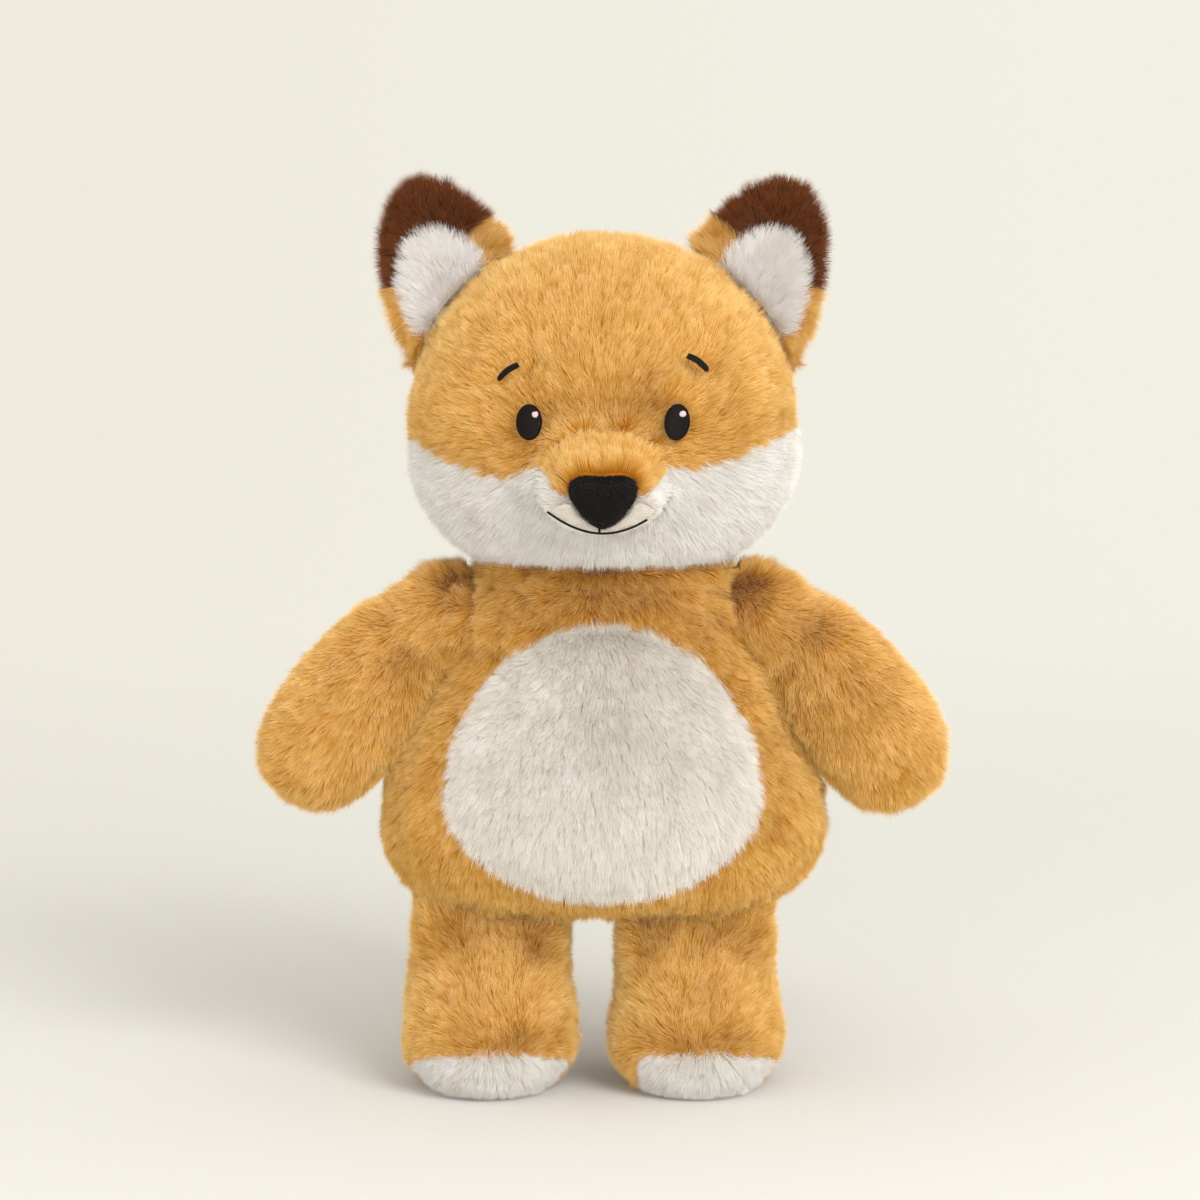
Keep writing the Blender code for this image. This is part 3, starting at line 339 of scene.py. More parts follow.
class PlushFoxPile(bpy.types.PropertyGroup):
    """Sizes of the plush pile."""

    length: length_setting("Length", 0.0072, "Length of a strand before the panel's own share")
    width: length_setting("Width", 0.00028, "Width of a strand at its middle")
    density: FloatProperty(
        name="Density", description="Strands on each square metre of cloth", default=7.6e6, min=0.0
    )
    lay: FloatProperty(name="Lay", description="How far the pile leans, as a slope", default=1.0, min=0.0)
    clump: length_setting("Lock", 0.0036, "Width of a lock of strands whose tips meet")
    pull: FloatProperty(name="Lock Pull", description="How far tips move to the lock's middle", default=0.30)
    swirl: length_setting("Swirl", 0.020, "Size of the places where the pile lies another way")
    swirl_strength: FloatProperty(name="Swirl Strength", description="How far it turns there", default=0.95)
    least_room: length_setting("Least Room", 0.0010, "Pile stands where there is this much room for it")
    velour: length_setting("Velour Length", 0.0009, "Length of the short pile of nose and lip")
    velour_width: length_setting("Velour Width", 0.00022, "Width of a strand of the short pile")
    velour_density: FloatProperty(
        name="Velour Density", description="Short strands on each square metre", default=1.6e7, min=0.0
    )


class PlushFoxStitches(bpy.types.PropertyGroup):
    """Sizes of the embroidery."""

    thread: length_setting("Thread", 0.00046, "Thickness of the embroidery thread as it lies")
    eye_dome: length_setting("Eye Dome", 0.0013, "How far an eye swells forwards")
    eye_lift: length_setting("Eye Lift", 0.0006, "How far an eye stands out of the pattern piece's face")
    rim: length_setting("Rim", 0.0010, "Thickness of the raised stitches round an eye")
    brow_width: length_setting("Brow Width", 0.0029, "Width of a brow")
    brow_arch: length_setting("Brow Arch", 0.0008, "How far a brow bows upwards")
    mouth_thread: length_setting("Mouth Thread", 0.0009, "Thickness of the mouth line")
    mouth_lift: length_setting("Mouth Lift", 0.0014, "How far the mouth line stands in front of its groove")
    mouth_stitch: length_setting("Mouth Stitch", 0.0021, "Length of a stitch of the mouth line")
    mouth_middle: FloatProperty(
        name="Mouth Middle", description="Sideways place of its middle", default=-0.0018, unit="LENGTH"
    )
    mouth_step: length_setting("Mouth Step", 0.0013, "Distance from stitch to stitch")


class PlushFoxColours(bpy.types.PropertyGroup):
    """Colours, each as the pile's root, its middle and its tip."""

    orange_root: colour_setting("Orange Root", "#b97012", "Depth of the orange pile")
    orange: colour_setting("Orange", "#dba240", "Middle of the orange pile")
    orange_tip: colour_setting("Orange Tip", "#f0cf8c", "Ends of the orange pile")
    white_root: colour_setting("White Root", "#d8d0c5", "Depth of the white pile")
    white: colour_setting("White", "#e6e3de", "Middle of the white pile")
    white_tip: colour_setting("White Tip", "#eceae7", "Ends of the white pile")
    # The ears' lining: the white plush, painted lighter against the shade that falls in the ears.
    lining_root: colour_setting("Ear Lining Root", "#e2dad0", "Depth of the ears' white pile")
    lining: colour_setting("Ear Lining", "#f6f3f0", "Middle of the ears' white pile")
    lining_tip: colour_setting("Ear Lining Tip", "#fdfcfc", "Ends of the ears' white pile")
    cream_root: colour_setting("Cream Root", "#ddd5c8", "Depth of the belly's pile")
    cream: colour_setting("Cream", "#ece7df", "Middle of the belly's pile")
    cream_tip: colour_setting("Cream Tip", "#f2eee6", "Ends of the belly's pile")
    brown_root: colour_setting("Brown Root", "#2a1204", "Depth of the brown pile")
    brown: colour_setting("Brown", "#54280b", "Middle of the brown pile")
    brown_tip: colour_setting("Brown Tip", "#8e542b", "Ends of the brown pile")
    nose: colour_setting("Nose", "#191512", "Black velour")
    nose_tip: colour_setting("Nose Sheen", "#332d28", "Ends of the black velour")
    nose_root: colour_setting("Nose Root", "#0d0b0a", "Depth of the black velour")
    lip_root: colour_setting("Lip Root", "#dad2c6", "Depth of the lip's velour")
    lip: colour_setting("Lip", "#e8e2d8", "Velour round the mouth")
    lip_tip: colour_setting("Lip Tip", "#f1ece4", "Ends of the lip's velour")
    sole_root: colour_setting("Sole Root", "#b9894a", "Depth of the soles' velour")
    sole: colour_setting("Sole", "#d9a85c", "Velour of the soles")
    sole_tip: colour_setting("Sole Tip", "#e6c07f", "Ends of the soles' velour")
    thread: colour_setting("Dark Thread", "#120c08", "Eyes, brows and mouth line")
    glint: colour_setting("Pale Thread", "#dcc4c6", "Glints in the eyes")


class PlushFoxStage(bpy.types.PropertyGroup):
    """The camera, floor and lights."""

    distance: length_setting("Distance", 1.8, "From the camera to the point that it is aimed at")
    elevation: FloatProperty(
        name="Elevation", description="Height of the camera's view", default=math.radians(7), unit="ROTATION"
    )
    view_width: length_setting("View Width", 0.444, "Width of the picture at the toy")
    aim_height: length_setting("Aim Height", 0.1777, "Height of the point that the camera is aimed at")
    aim_side: FloatProperty(
        name="Aim Side", description="Sideways place of that point", default=-0.0011, unit="LENGTH"
    )
    floor: colour_setting("Floor", "#ecece7", "Cream paper of the floor and backdrop")
    # Painted light: the far backdrop is darker on the left and lighter on the right.
    far_left_painted_shade: colour_setting("Far Left", "#eeeade", "The backdrop as seen on the left")
    far_right_painted_light: colour_setting("Far Right", "#f2f0e4", "The backdrop as seen on the right")
    sky_colour: colour_setting("Sky Colour", "#fffaf3", "Colour of the light from all round")
    sky: FloatProperty(name="Sky", description="Strength of the light from all round", default=0.74)
    key: FloatProperty(name="Key", description="Power of the lamp to the right and above", default=52.0)
    fill: FloatProperty(name="Fill", description="Power of the lamp in front", default=34.0)


def fill_inputs(tree, node, inputs):
    """Sets a node's inputs, by their order, number or name, to values or to other nodes' outputs."""
    for key, value in inputs.items() if isinstance(inputs, dict) else enumerate(inputs):
        if isinstance(value, bpy.types.NodeSocket):
            tree.links.new(value, node.inputs[key])
        else:
            node.inputs[key].default_value = value


def add_node(tree, kind, inputs=(), output=0, **settings):
    """Adds a node with its settings and links, and gives one of its outputs."""
    node = tree.nodes.new(kind)
    for key, value in settings.items():
        setattr(node, key, value)
    fill_inputs(tree, node, inputs)
    return node.outputs[output] if node.outputs else None


def new_tree(name, inputs):
    """A tree of geometry nodes, the function that adds nodes to it, and its inputs, listed by kind."""
    tree = bpy.data.node_groups.new(name, "GeometryNodeTree")
    for way in ("INPUT", "OUTPUT"):
        tree.interface.new_socket("Geometry", in_out=way, socket_type="NodeSocketGeometry")
    for kind, names in inputs.items():
        for socket in names:
            tree.interface.new_socket(socket, in_out="INPUT", socket_type=f"NodeSocket{kind}")
    node = partial(add_node, tree)
    return tree, node, node("NodeGroupInput").node.outputs


def real_copies(node, thing, places):
    """Copies of an object that stand in places, as real geometry."""
    copy = node("GeometryNodeObjectInfo", {"Object": thing}, "Geometry")
    copies = node("GeometryNodeInstanceOnPoints", {"Instance": copy, **places})
    return node("GeometryNodeRealizeInstances", (copies,))


def hand_out(node, geometry, finish):
    """Ends a tree with its geometry, all in one material."""
    dressed = node("GeometryNodeSetMaterial", {"Geometry": geometry, "Material": finish})
    node("NodeGroupOutput", (dressed,))


def new_object(name, mesh):
    made = bpy.data.objects.new(name, mesh)
    bpy.context.scene.collection.objects.link(made)
    return made


def settled_mesh(obj, name):
    """The object's shape with its modifiers, as a plain mesh."""
    graph = bpy.context.evaluated_depsgraph_get()
    mesh = bpy.data.meshes.new_from_object(obj.evaluated_get(graph))
    mesh.name = name
    return mesh


def set_inputs(modifier, values):
    """Sets a Geometry Nodes modifier's inputs, given by name."""
    for item in modifier.node_group.interface.items_tree:
        if item.item_type == "SOCKET" and item.in_out == "INPUT" and item.name in values:
            modifier[item.identifier] = values[item.name]


def grown_mesh(name, base, tree, values):
    """What a tree of nodes makes from a base mesh, as a plain mesh."""
    carrier = new_object(name, base)
    modifier = carrier.modifiers.new("Making", "NODES")
    modifier.node_group = tree
    set_inputs(modifier, values)
    mesh = settled_mesh(carrier, name)
    bpy.data.objects.remove(carrier)
    return mesh


def points_of(mesh):
    points = np.empty(len(mesh.vertices) * 3, np.float32)
    mesh.vertices.foreach_get("co", points)
    return points.reshape(-1, 3).astype(float)


def set_points(mesh, points):
    mesh.vertices.foreach_set("co", np.asarray(points, np.float32).ravel())
    mesh.update()


def normals_of(mesh):
    normals = np.empty(len(mesh.vertices) * 3, np.float32)
    mesh.vertices.foreach_get("normal", normals)
    return normals.reshape(-1, 3).astype(float)


def tree_of_nodes(names):
    """One search tree over the model's solids."""
    points, faces = [], []
    for name in names:
        mesh = NODES[name].data
        start = len(points)
        points += [v.co.copy() for v in mesh.vertices]
        faces += [[start + i for i in p.vertices] for p in mesh.polygons]
    return BVHTree.FromPolygons(points, faces)


def mesh_of(shape, name):
    """A mesh from a shape that has been built up."""
    mesh = bpy.data.meshes.new(name)
    shape.to_mesh(mesh)
    shape.free()
    return mesh


def joined_nodes(name, node_names):
    """A copy of several of the model's solids as one mesh."""
    shape = bmesh.new()
    for node in node_names:
        shape.from_mesh(NODES[node].data)
    bmesh.ops.remove_doubles(shape, verts=shape.verts, dist=1e-6)
    return mesh_of(shape, name)


def others_than(body):
    """One search tree over the model's solids on all the other bodies."""
    return tree_of_nodes([node for node in NODES if BODY_OF[node] != body])


def largest_part(mesh):
    """Keeps the largest connected part of a mesh."""
    shape = bmesh.new()
    shape.from_mesh(mesh)
    left = set(shape.verts)
    parts = []
    while left:
        part = {left.pop()}
        todo = list(part)
        while todo:
            for edge in todo.pop().link_edges:
                for vert in edge.verts:
                    if vert in left:
                        left.discard(vert)
                        part.add(vert)
                        todo.append(vert)
        parts.append(part)
    kept = max(parts, key=len)
    spare = [vert for vert in shape.verts if vert not in kept]
    bmesh.ops.delete(shape, geom=spare, context="VERTS")
    for _ in range(SMOOTHINGS):
        bmesh.ops.smooth_vert(
            shape, verts=shape.verts, factor=0.5, use_axis_x=True, use_axis_y=True, use_axis_z=True
        )
    shape.to_mesh(mesh)
    shape.free()
    return mesh


def free_way(mesh, others):
    """How far each point can go outwards before it meets another body."""
    free = np.full(len(mesh.vertices), FAR)
    for index, (point, normal) in enumerate(zip(points_of(mesh), normals_of(mesh))):
        hit = others.ray_cast(Vector(point), Vector(normal), FAR)
        if hit[0] is not None:
            free[index] = hit[3]
    return free


def distance_to(mesh, names):
    """How far each point lies from the nearest of several of the model's solids."""
    tree = tree_of_nodes(names)
    return np.array([tree.find_nearest(Vector(point))[3] for point in points_of(mesh)])


def smooth_step(values, low, high):
    share = np.clip((values - low) / (high - low), 0, 1)
    return share * share * (3 - 2 * share)


def blow_up(forms, settings):
    """Blows the forms up as cloth with stuffing inside, all at once, and keeps how far each point moved."""
    scene = bpy.context.scene
    starts = {}
    for obj in forms:
        starts[obj] = points_of(obj.data)
        stuffing = obj.modifiers.new("Stuffing", "CLOTH")
        stuffing.settings.use_pressure = True
        stuffing.settings.uniform_pressure_force = settings.pressure
        stuffing.settings.effector_weights.gravity = 0.0
        stuffing.settings.vertex_group_mass = "held"
        stuffing.point_cache.frame_end = settings.frames
    for number in range(1, settings.frames + 1):
        scene.frame_set(number)
    graph = bpy.context.evaluated_depsgraph_get()
    for obj in forms:
        evaluated = obj.evaluated_get(graph)
        blown = points_of(evaluated.data)
        obj.modifiers.remove(obj.modifiers["Stuffing"])
        moved = blown - starts[obj]
        far = np.linalg.norm(moved, axis=1, keepdims=True)
        moved *= np.minimum(1.0, settings.most_swell / np.maximum(far, 1e-9))
        set_points(obj.data, starts[obj] + moved)
    scene.frame_set(1)


def crease_seams(mesh, panels, settings):
    """Pulls the cloth in along the seams, where two panels are equally near."""
    if len(panels) < 2:
        return
    trees = [tree_of_nodes([panel]) for panel in panels]
    points, normals = points_of(mesh), normals_of(mesh)
    for index, (point, normal) in enumerate(zip(points, normals)):
        near = sorted(tree.find_nearest(Vector(point))[3] for tree in trees)
        across = (near[1] - near[0]) / settings.crease_width
        points[index] -= normal * settings.crease * math.exp(-across * across)
    set_points(mesh, points)


def ear_panel(face):
    """The panel that a face of an ear's cloth belongs to: 0 for the back, 1 the tip, 2 the lining."""
    place = Vector((abs(face.center.x), face.center.z))
    from_middle = place - EAR_WHITE_MIDDLE
    along = from_middle.dot(EAR_WHITE_ALONG) / EAR_WHITE_LONG
    across = from_middle.cross(EAR_WHITE_ALONG) / EAR_WHITE_WIDE
    if face.normal.y < 0 and along * along + across * across < 1:
        return 2
    share = (EAR_BROWN_OUTER.x - place.x) / (EAR_BROWN_OUTER.x - EAR_BROWN_INNER.x)
    return 1 if place.y > EAR_BROWN_OUTER.y + (EAR_BROWN_INNER.y - EAR_BROWN_OUTER.y) * share else 0


def number_panels(form, mesh, panels):
    """Gives each face of a form's cloth the number of its panel, as its material and as an attribute."""
    trees = [tree_of_nodes([panel]) for panel in panels]
    held = mesh.attributes.new("panel", "INT", "FACE").data
    for face in mesh.polygons:
        near = [tree.find_nearest(face.center)[3] for tree in trees]
        number = near.index(min(near))
        if form.startswith("ear"):
            number = ear_panel(face)
        elif form.startswith("leg") and number in (0, 1, 2):
            up = face.center.z / TOE_TOP
            back = (face.center.y - TOE_FRONT) / (TOE_BACK - TOE_FRONT)
            white = up * up + back * back < 1 and abs(face.center.x) > TOE_INNER
            number = 2 if white else min(number, 1)
        face.material_index = number
        held[face.index].value = number


def pile_tree():
    """Strands on one panel of a form: scattered, combed, gathered into locks and coloured."""
    tree, node, given = new_tree("plush_pile", PILE_INPUTS)
    place = node("GeometryNodeInputPosition")

    # Pile is thinner where it is pressed by another body.
    room = node(ATTRIBUTE, ("room",), data_type="FLOAT")
    full_room = node(MATH, (given["Room From"], ROOM_SPAN))
    roomy = node(MAP_RANGE, (room, given["Room From"], full_room, PRESSED_SHARE, 1.0))
    density = node(MATH, (given["Density"], roomy), operation="MULTIPLY")
    points = node(
        "GeometryNodeDistributePointsOnFaces",
        {"Mesh": given["Geometry"], "Density": density, "Seed": given["Seed"]},
        distribute_method="RANDOM",
    )
    outwards = points.node.outputs["Normal"]

    # No strand grows through a stitched piece.
    trims = node("GeometryNodeObjectInfo", {"Object": given["Trims"]}, "Geometry")
    look = node(MATH, (given["Length"], UNDER_SHARE), operation="MULTIPLY")
    ray = {"Target Geometry": trims, "Ray Direction": outwards, "Ray Length": look}
    under = node("GeometryNodeRaycast", ray, "Is Hit")

    # The comb's direction, with swirls of two sizes.
    away = node(VECTOR, (place, given["Away From"]), operation="SUBTRACT")
    away = node(VECTOR, (away,), operation="NORMALIZE")
    combed = node(VECTOR, (away, given["Spread"], given["Towards"]), operation="MULTIPLY_ADD")
    for size, strength in SWIRLS:
        turns = node(MATH, (1.0 / size, given["Swirl Size"]), operation="DIVIDE")
        noise = node("ShaderNodeTexNoise", {"Vector": place, "Scale": turns, "Detail": 1.0}, "Color")
        centred = node(VECTOR, (noise, (0.5, 0.5, 0.5)), operation="SUBTRACT")
        amount = node(MATH, (given["Swirl"], 2.0 * strength), operation="MULTIPLY")
        swirl = node(VECTOR, {0: centred, "Scale": amount}, operation="SCALE")
        combed = node(VECTOR, (combed, swirl))

    # Near a stitched piece the pile leans away from it and is shorter.
    distance = node("GeometryNodeProximity", {"Geometry": trims}, "Distance", target_element="FACES")
    nearness = node(MAP_RANGE, (distance, TRIM_NEAR, TRIM_FAR, given["Clear Of Trims"], 0.0))
    from_trim = node(VECTOR, (place, distance.node.outputs["Position"]), operation="SUBTRACT")
    from_trim = node(VECTOR, (from_trim,), operation="NORMALIZE")
    shy = node(VECTOR, {0: from_trim, "Scale": nearness}, operation="SCALE")
    combed = node(VECTOR, (combed, shy))

    # The comb's direction, laid flat on the cloth.
    upward = node(VECTOR, (combed, outwards), "Value", operation="DOT_PRODUCT")
    lifted = node(VECTOR, {0: outwards, "Scale": upward}, operation="SCALE")
    flat = node(VECTOR, (combed, lifted), operation="SUBTRACT")

    # Pile never stands quite upright, and lies flat where another body presses it.
    lean = node(VECTOR, (flat,), "Value", operation="LENGTH")
    pressed = node(MATH, (PRESSED_LENGTH, room), operation="DIVIDE")
    for other, operation in ((LEAST_LEAN, "MAXIMUM"), (given["Lay"], "MULTIPLY"), (pressed, "MAXIMUM")):
        lean = node(MATH, (lean, other), operation=operation)
    flat = node(VECTOR, (flat,), operation="NORMALIZE")
    leaning = node(VECTOR, {0: flat, "Scale": lean}, operation="SCALE")
    stray = {"Min": (-STRAY,) * 3, "Max": (STRAY,) * 3, "Seed": given["Seed"]}
    leaning = node(VECTOR, (leaning, node(RANDOM, stray, data_type="FLOAT_VECTOR")))
    growing = node(VECTOR, (leaning, outwards))
    growing = node(VECTOR, (growing,), operation="NORMALIZE")

    # Locks: the tips of neighbours move towards the middle of their cell.
    cells = node(MATH, (1.0, given["Lock Size"]), operation="DIVIDE")
    lock = node("ShaderNodeTexVoronoi", {"Vector": place, "Scale": cells}, "Position")
    lock_draws = node(SEPARATE, (lock.node.outputs["Color"],)).node.outputs
    inwards = node(VECTOR, (lock, place), operation="SUBTRACT")
    pull = node(VECTOR, {0: inwards, "Scale": given["Lock Pull"]}, operation="SCALE")
    reach = node(VECTOR, {0: growing, "Scale": given["Length"]}, operation="SCALE")
    reach = node(VECTOR, (reach, pull))
    growing = node(VECTOR, (reach,), operation="NORMALIZE")

    # Length: random by strand and by lock, shorter by a stitched piece and where room is short.
    strand_draw = {2: STRAND_LENGTHS[0], 3: STRAND_LENGTHS[1], "Seed": given["Seed"]}
    strand_share = node(RANDOM, strand_draw, 1, data_type="FLOAT")
    lock_share = node(MAP_RANGE, (lock_draws[0], 0.0, 1.0, *LOCK_LENGTHS))
    trim_share = node(MATH, (nearness, -TRIM_CUT, 1.0), operation="MULTIPLY_ADD")
    length = given["Length"]
    for share in (strand_share, lock_share, trim_share):
        length = node(MATH, (length, share), operation="MULTIPLY")
    most = node(MATH, (room, LEAST_PILE), operation="MAXIMUM")
    length = node(MATH, (length, most), operation="MINIMUM")

    # The pile's tone: a slow change, one for each lock and one for each strand, painted light that makes it
    # paler where the toy faces up and deeper where it faces down, and the panel's own painted light or shade.
    tone = node("ShaderNodeTexNoise", {"Vector": place, "Scale": SLOW_TURNS, "Detail": 2.0}, "Fac")
    tone_draw = {2: -STRAND_TONE, 3: STRAND_TONE, "Seed": given["Seed"]}
    strand_tone = node(RANDOM, tone_draw, 1, data_type="FLOAT")
    # Painted light: the pile is paler where the cloth faces up, as if lit from above, and deeper where it
    # faces down.
    rise = node(SEPARATE, (outwards,), "Z")
    painted_top_light = node(MAP_RANGE, (rise, *PAINTED_TOP_LIGHT_RISES, -PAINTED_TOP_LIGHT_TONE, PAINTED_TOP_LIGHT_TONE))
    lock_tone = node(MAP_RANGE, (lock_draws[1], 0.0, 1.0, -LOCK_TONE, LOCK_TONE))
    for more in (strand_tone, painted_top_light, given["Tone"]):
        tone = node(MATH, (tone, more))
    tone = node(MATH, (tone, lock_tone), use_clamp=True)

    # A tip that would go through the floor lies on it.
    tip = node(VECTOR, {0: growing, "Scale": length}, operation="SCALE")
    tip = node(VECTOR, (place, tip))
    tip = node(VECTOR, (tip, (-FAR, -FAR, OVER_FLOOR)), operation="MAXIMUM")
    reach = node(VECTOR, (tip, place), operation="SUBTRACT")
    growing = node(VECTOR, (reach,), operation="NORMALIZE")
    length = node(VECTOR, (reach,), "Value", operation="LENGTH")

    # Pile catches light across its strands, so the shade's normal leans the other way than they do.
    upright = node(VECTOR, (growing, outwards), "Value", operation="DOT_PRODUCT")
    back = node(MATH, (upright, -SHADE_LEAN), operation="MULTIPLY")
    leant = node(VECTOR, {0: growing, "Scale": back}, operation="SCALE")
    shade = node(VECTOR, (leant, outwards))
    shade = node(VECTOR, (shade,), operation="NORMALIZE")

    # A strand belongs to the panel that its upper part lies over, so colours meet at the seams.
    over = node(MATH, (length, UPPER_SHARE), operation="MULTIPLY")
    over = node(VECTOR, {0: growing, "Scale": over}, operation="SCALE")
    over = node(VECTOR, (place, over))
    astray = {"Min": (-SEAM_STRAY,) * 3, "Max": (SEAM_STRAY,) * 3, "Seed": given["Seed"]}
    over = node(VECTOR, (over, node(RANDOM, astray, data_type="FLOAT_VECTOR")))
    number = node(ATTRIBUTE, ("panel",), data_type="INT")
    below = {"Mesh": given["Geometry"], "Value": number, "Sample Position": over}
    nearest = node("GeometryNodeSampleNearestSurface", below, data_type="INT")
    pair = {2: nearest, 3: given["Panel"]}
    other = node("FunctionNodeCompare", pair, data_type="INT", operation="NOT_EQUAL")
    spare = node("FunctionNodeBooleanMath", (other, under), operation="OR")
    kept = node("GeometryNodeDeleteGeometry", (points, spare), domain="POINT")
    for name, kind, value in (("tone", "FLOAT", tone), ("shade", "FLOAT_VECTOR", shade)):
        note = {"Geometry": kept, "Name": name, "Value": value}
        kept = node(STORE, note, data_type=kind, domain="POINT")

    # Strands turn their flat side forwards, and on the toy's back backwards, so few show their edge.
    facing = node(VECTOR, (outwards, FLAT_SHARE, FLAT_TURN), operation="MULTIPLY_ADD")
    axes = {"Primary Axis": growing, "Secondary Axis": facing}
    turned = node("FunctionNodeAxesToRotation", axes, primary_axis="Z", secondary_axis="Y")
    size = node(COMBINE, (given["Width"], length, length))
    real = real_copies(node, given["Strand"], {"Points": kept, "Rotation": turned, "Scale": size})

    # Each point of a strand keeps its tone and its place along for the colours.
    own = {name: node(ATTRIBUTE, (name,), data_type=kind) for name, kind in STRAND_NOTES.items()}
    chart = {"Geometry": real, "Name": "OFBake", "Value": node(COMBINE, (own["tone"], own["along"]))}
    real = node(STORE, chart, data_type="FLOAT2", domain="CORNER")
    shaded = {"Mesh": real, "Custom Normal": own["shade"]}
    real = node("GeometryNodeSetMeshNormal", shaded, mode="FREE", domain="POINT")
    for name in own:
        real = node("GeometryNodeRemoveAttribute", {"Geometry": real, "Name": name})
    hand_out(node, real, given["Finish"])
    return tree


def strand_object():
    """One strand, a unit long and a unit wide at its root: a single face that ends in a fine tip."""
    shape = bmesh.new()
    layer = shape.verts.layers.float.new("along")
    corners = [shape.verts.new(place) for place in ((0.5, 0, 0), (-0.5, 0, 0), (0, 0, 1))]
    corners[2][layer] = 1.0
    shape.faces.new(corners)
    return new_object("strand", mesh_of(shape, "strand"))


def new_material(name):
    """A material, its tree, the function that adds nodes to it, and its shader."""
    made = bpy.data.materials.new(name)
    made.use_nodes = True
    tree = made.node_tree
    return made, tree, partial(add_node, tree), tree.nodes["Principled BSDF"]


def set_ramp(output, stops):
    """Gives the colour ramp with this output its places and colours."""
    ramp = output.node.color_ramp
    for element, (position, colour) in zip(ramp.elements, (stops[0], stops[-1])):
        element.position = position
        element.color = (*colour, 1.0)
    for position, colour in stops[1:-1]:
        ramp.elements.new(position).color = (*colour, 1.0)


def plush_material(name, root, middle, tip, deep, light):
    """Polyester plush, knitted and brushed: soft, dull, deep in colour at the roots and pale at the tips; the
    pale tips are partly the fibre's colour and partly painted light scattered through the fine ends.
    """
    made, tree, node, shader = new_material(name)
    chart = node("ShaderNodeUVMap", uv_map="OFBake")
    place = node(SEPARATE, (chart,)).node.outputs
    # Root to tip: the pale tips are partly painted light, for light scattered through the strands' ends.
    along = node("ShaderNodeValToRGB", (place["Y"],))
    set_ramp(along, ((ROOT_END, root), (MIDDLE_PLACE, middle), (TIP_START, tip)))
    # Strands of lower tone, which comes from chance and from painted shade, are also deeper in colour.
    tint = node("ShaderNodeMix", {0: place["X"], 6: (*deep, 1.0), 7: (*light, 1.0)}, 2, data_type="RGBA")
    toned = node(VECTOR, (along, tint), operation="MULTIPLY")
    finish = {"Roughness": 0.75, "Specular IOR Level": 0.12, "Sheen Weight": 0.12, "Sheen Roughness": 0.5}
    fill_inputs(tree, shader, {"Base Color": toned, **finish})
    return made


def uneven_material(name, darker, lighter, noise, depth, finish):
    """A material that a fine noise makes darker and lower here and there."""
    made, tree, node, shader = new_material(name)
    place = node("ShaderNodeTexCoord", output="Object")
    height = node("ShaderNodeTexNoise", {"Vector": place, **noise}, "Fac")
    colour = node("ShaderNodeValToRGB", (height,))
    set_ramp(colour, ((0.0, darker), (1.0, lighter)))
    bump = node("ShaderNodeBump", {"Height": height, "Distance": depth, "Strength": 0.5})
    fill_inputs(tree, shader, {"Base Color": colour, "Normal": bump, **finish})
    return made


def cloth_material(name, colour):
    """The knitted back of the plush, which shows only between the strands: dull, in the deep root colour,
    which also paints the shade between the strands.
    """
    darker = [v * 0.85 for v in colour]
    # Knitted loops about 1.2 mm wide.
    noise = {"Scale": 830.0, "Detail": 2.0}
    return uneven_material(
        name, darker, colour, noise, 0.0003, {"Roughness": 0.95, "Specular IOR Level": 0.1}
    )


def thread_material(name, colour, roughness):
    """Rayon embroidery thread, twisted and laid side by side: a soft gleam across the stitches."""
    darker = [v * 0.7 for v in colour]
    lighter = [min(v * 1.25, 1.0) for v in colour]
    # Plies of a thread, about 0.3 mm apart.
    noise = {"Scale": 3200.0, "Detail": 1.0}
    return uneven_material(
        name, darker, lighter, noise, 0.0001, {"Roughness": roughness, "Specular IOR Level": 0.2}
    )


def pile_finishes(colours):
    """The materials of every pile, of the cloth under it and of the threads, by name."""
    for finish, common in FINISHES.items():
        shades = [tuple(getattr(colours, finish + end)) for end in ("_root", "", "_tip")]
        tints = DEEP_AND_LIGHT["orange" if finish in ("orange", "brown", "sole") else "pale"]
        MATERIALS[finish] = plush_material(common, *shades, *tints)
        MATERIALS[finish + " cloth"] = cloth_material(common + " backing", shades[0])
    MATERIALS["dark thread"] = thread_material("black rayon thread", tuple(colours.thread), 0.60)
    MATERIALS["pale thread"] = thread_material("pale pink rayon thread", tuple(colours.glint), 0.50)


def form_sizes(form, settings):
    """The grid, the depth of the pile's bed and the room left to swell in, for one form."""
    if form in ("nose", "lip"):
        sizes = settings.small_voxel, settings.velour_bed, settings.velour_bed / 2
    elif form.startswith("ear"):
        sizes = settings.ear_voxel, settings.ear_bed, 0.0
    elif form.startswith("arm"):
        sizes = settings.voxel, settings.arm_bed, settings.swell
    else:
        sizes = settings.voxel, settings.bed, settings.swell
    return sizes


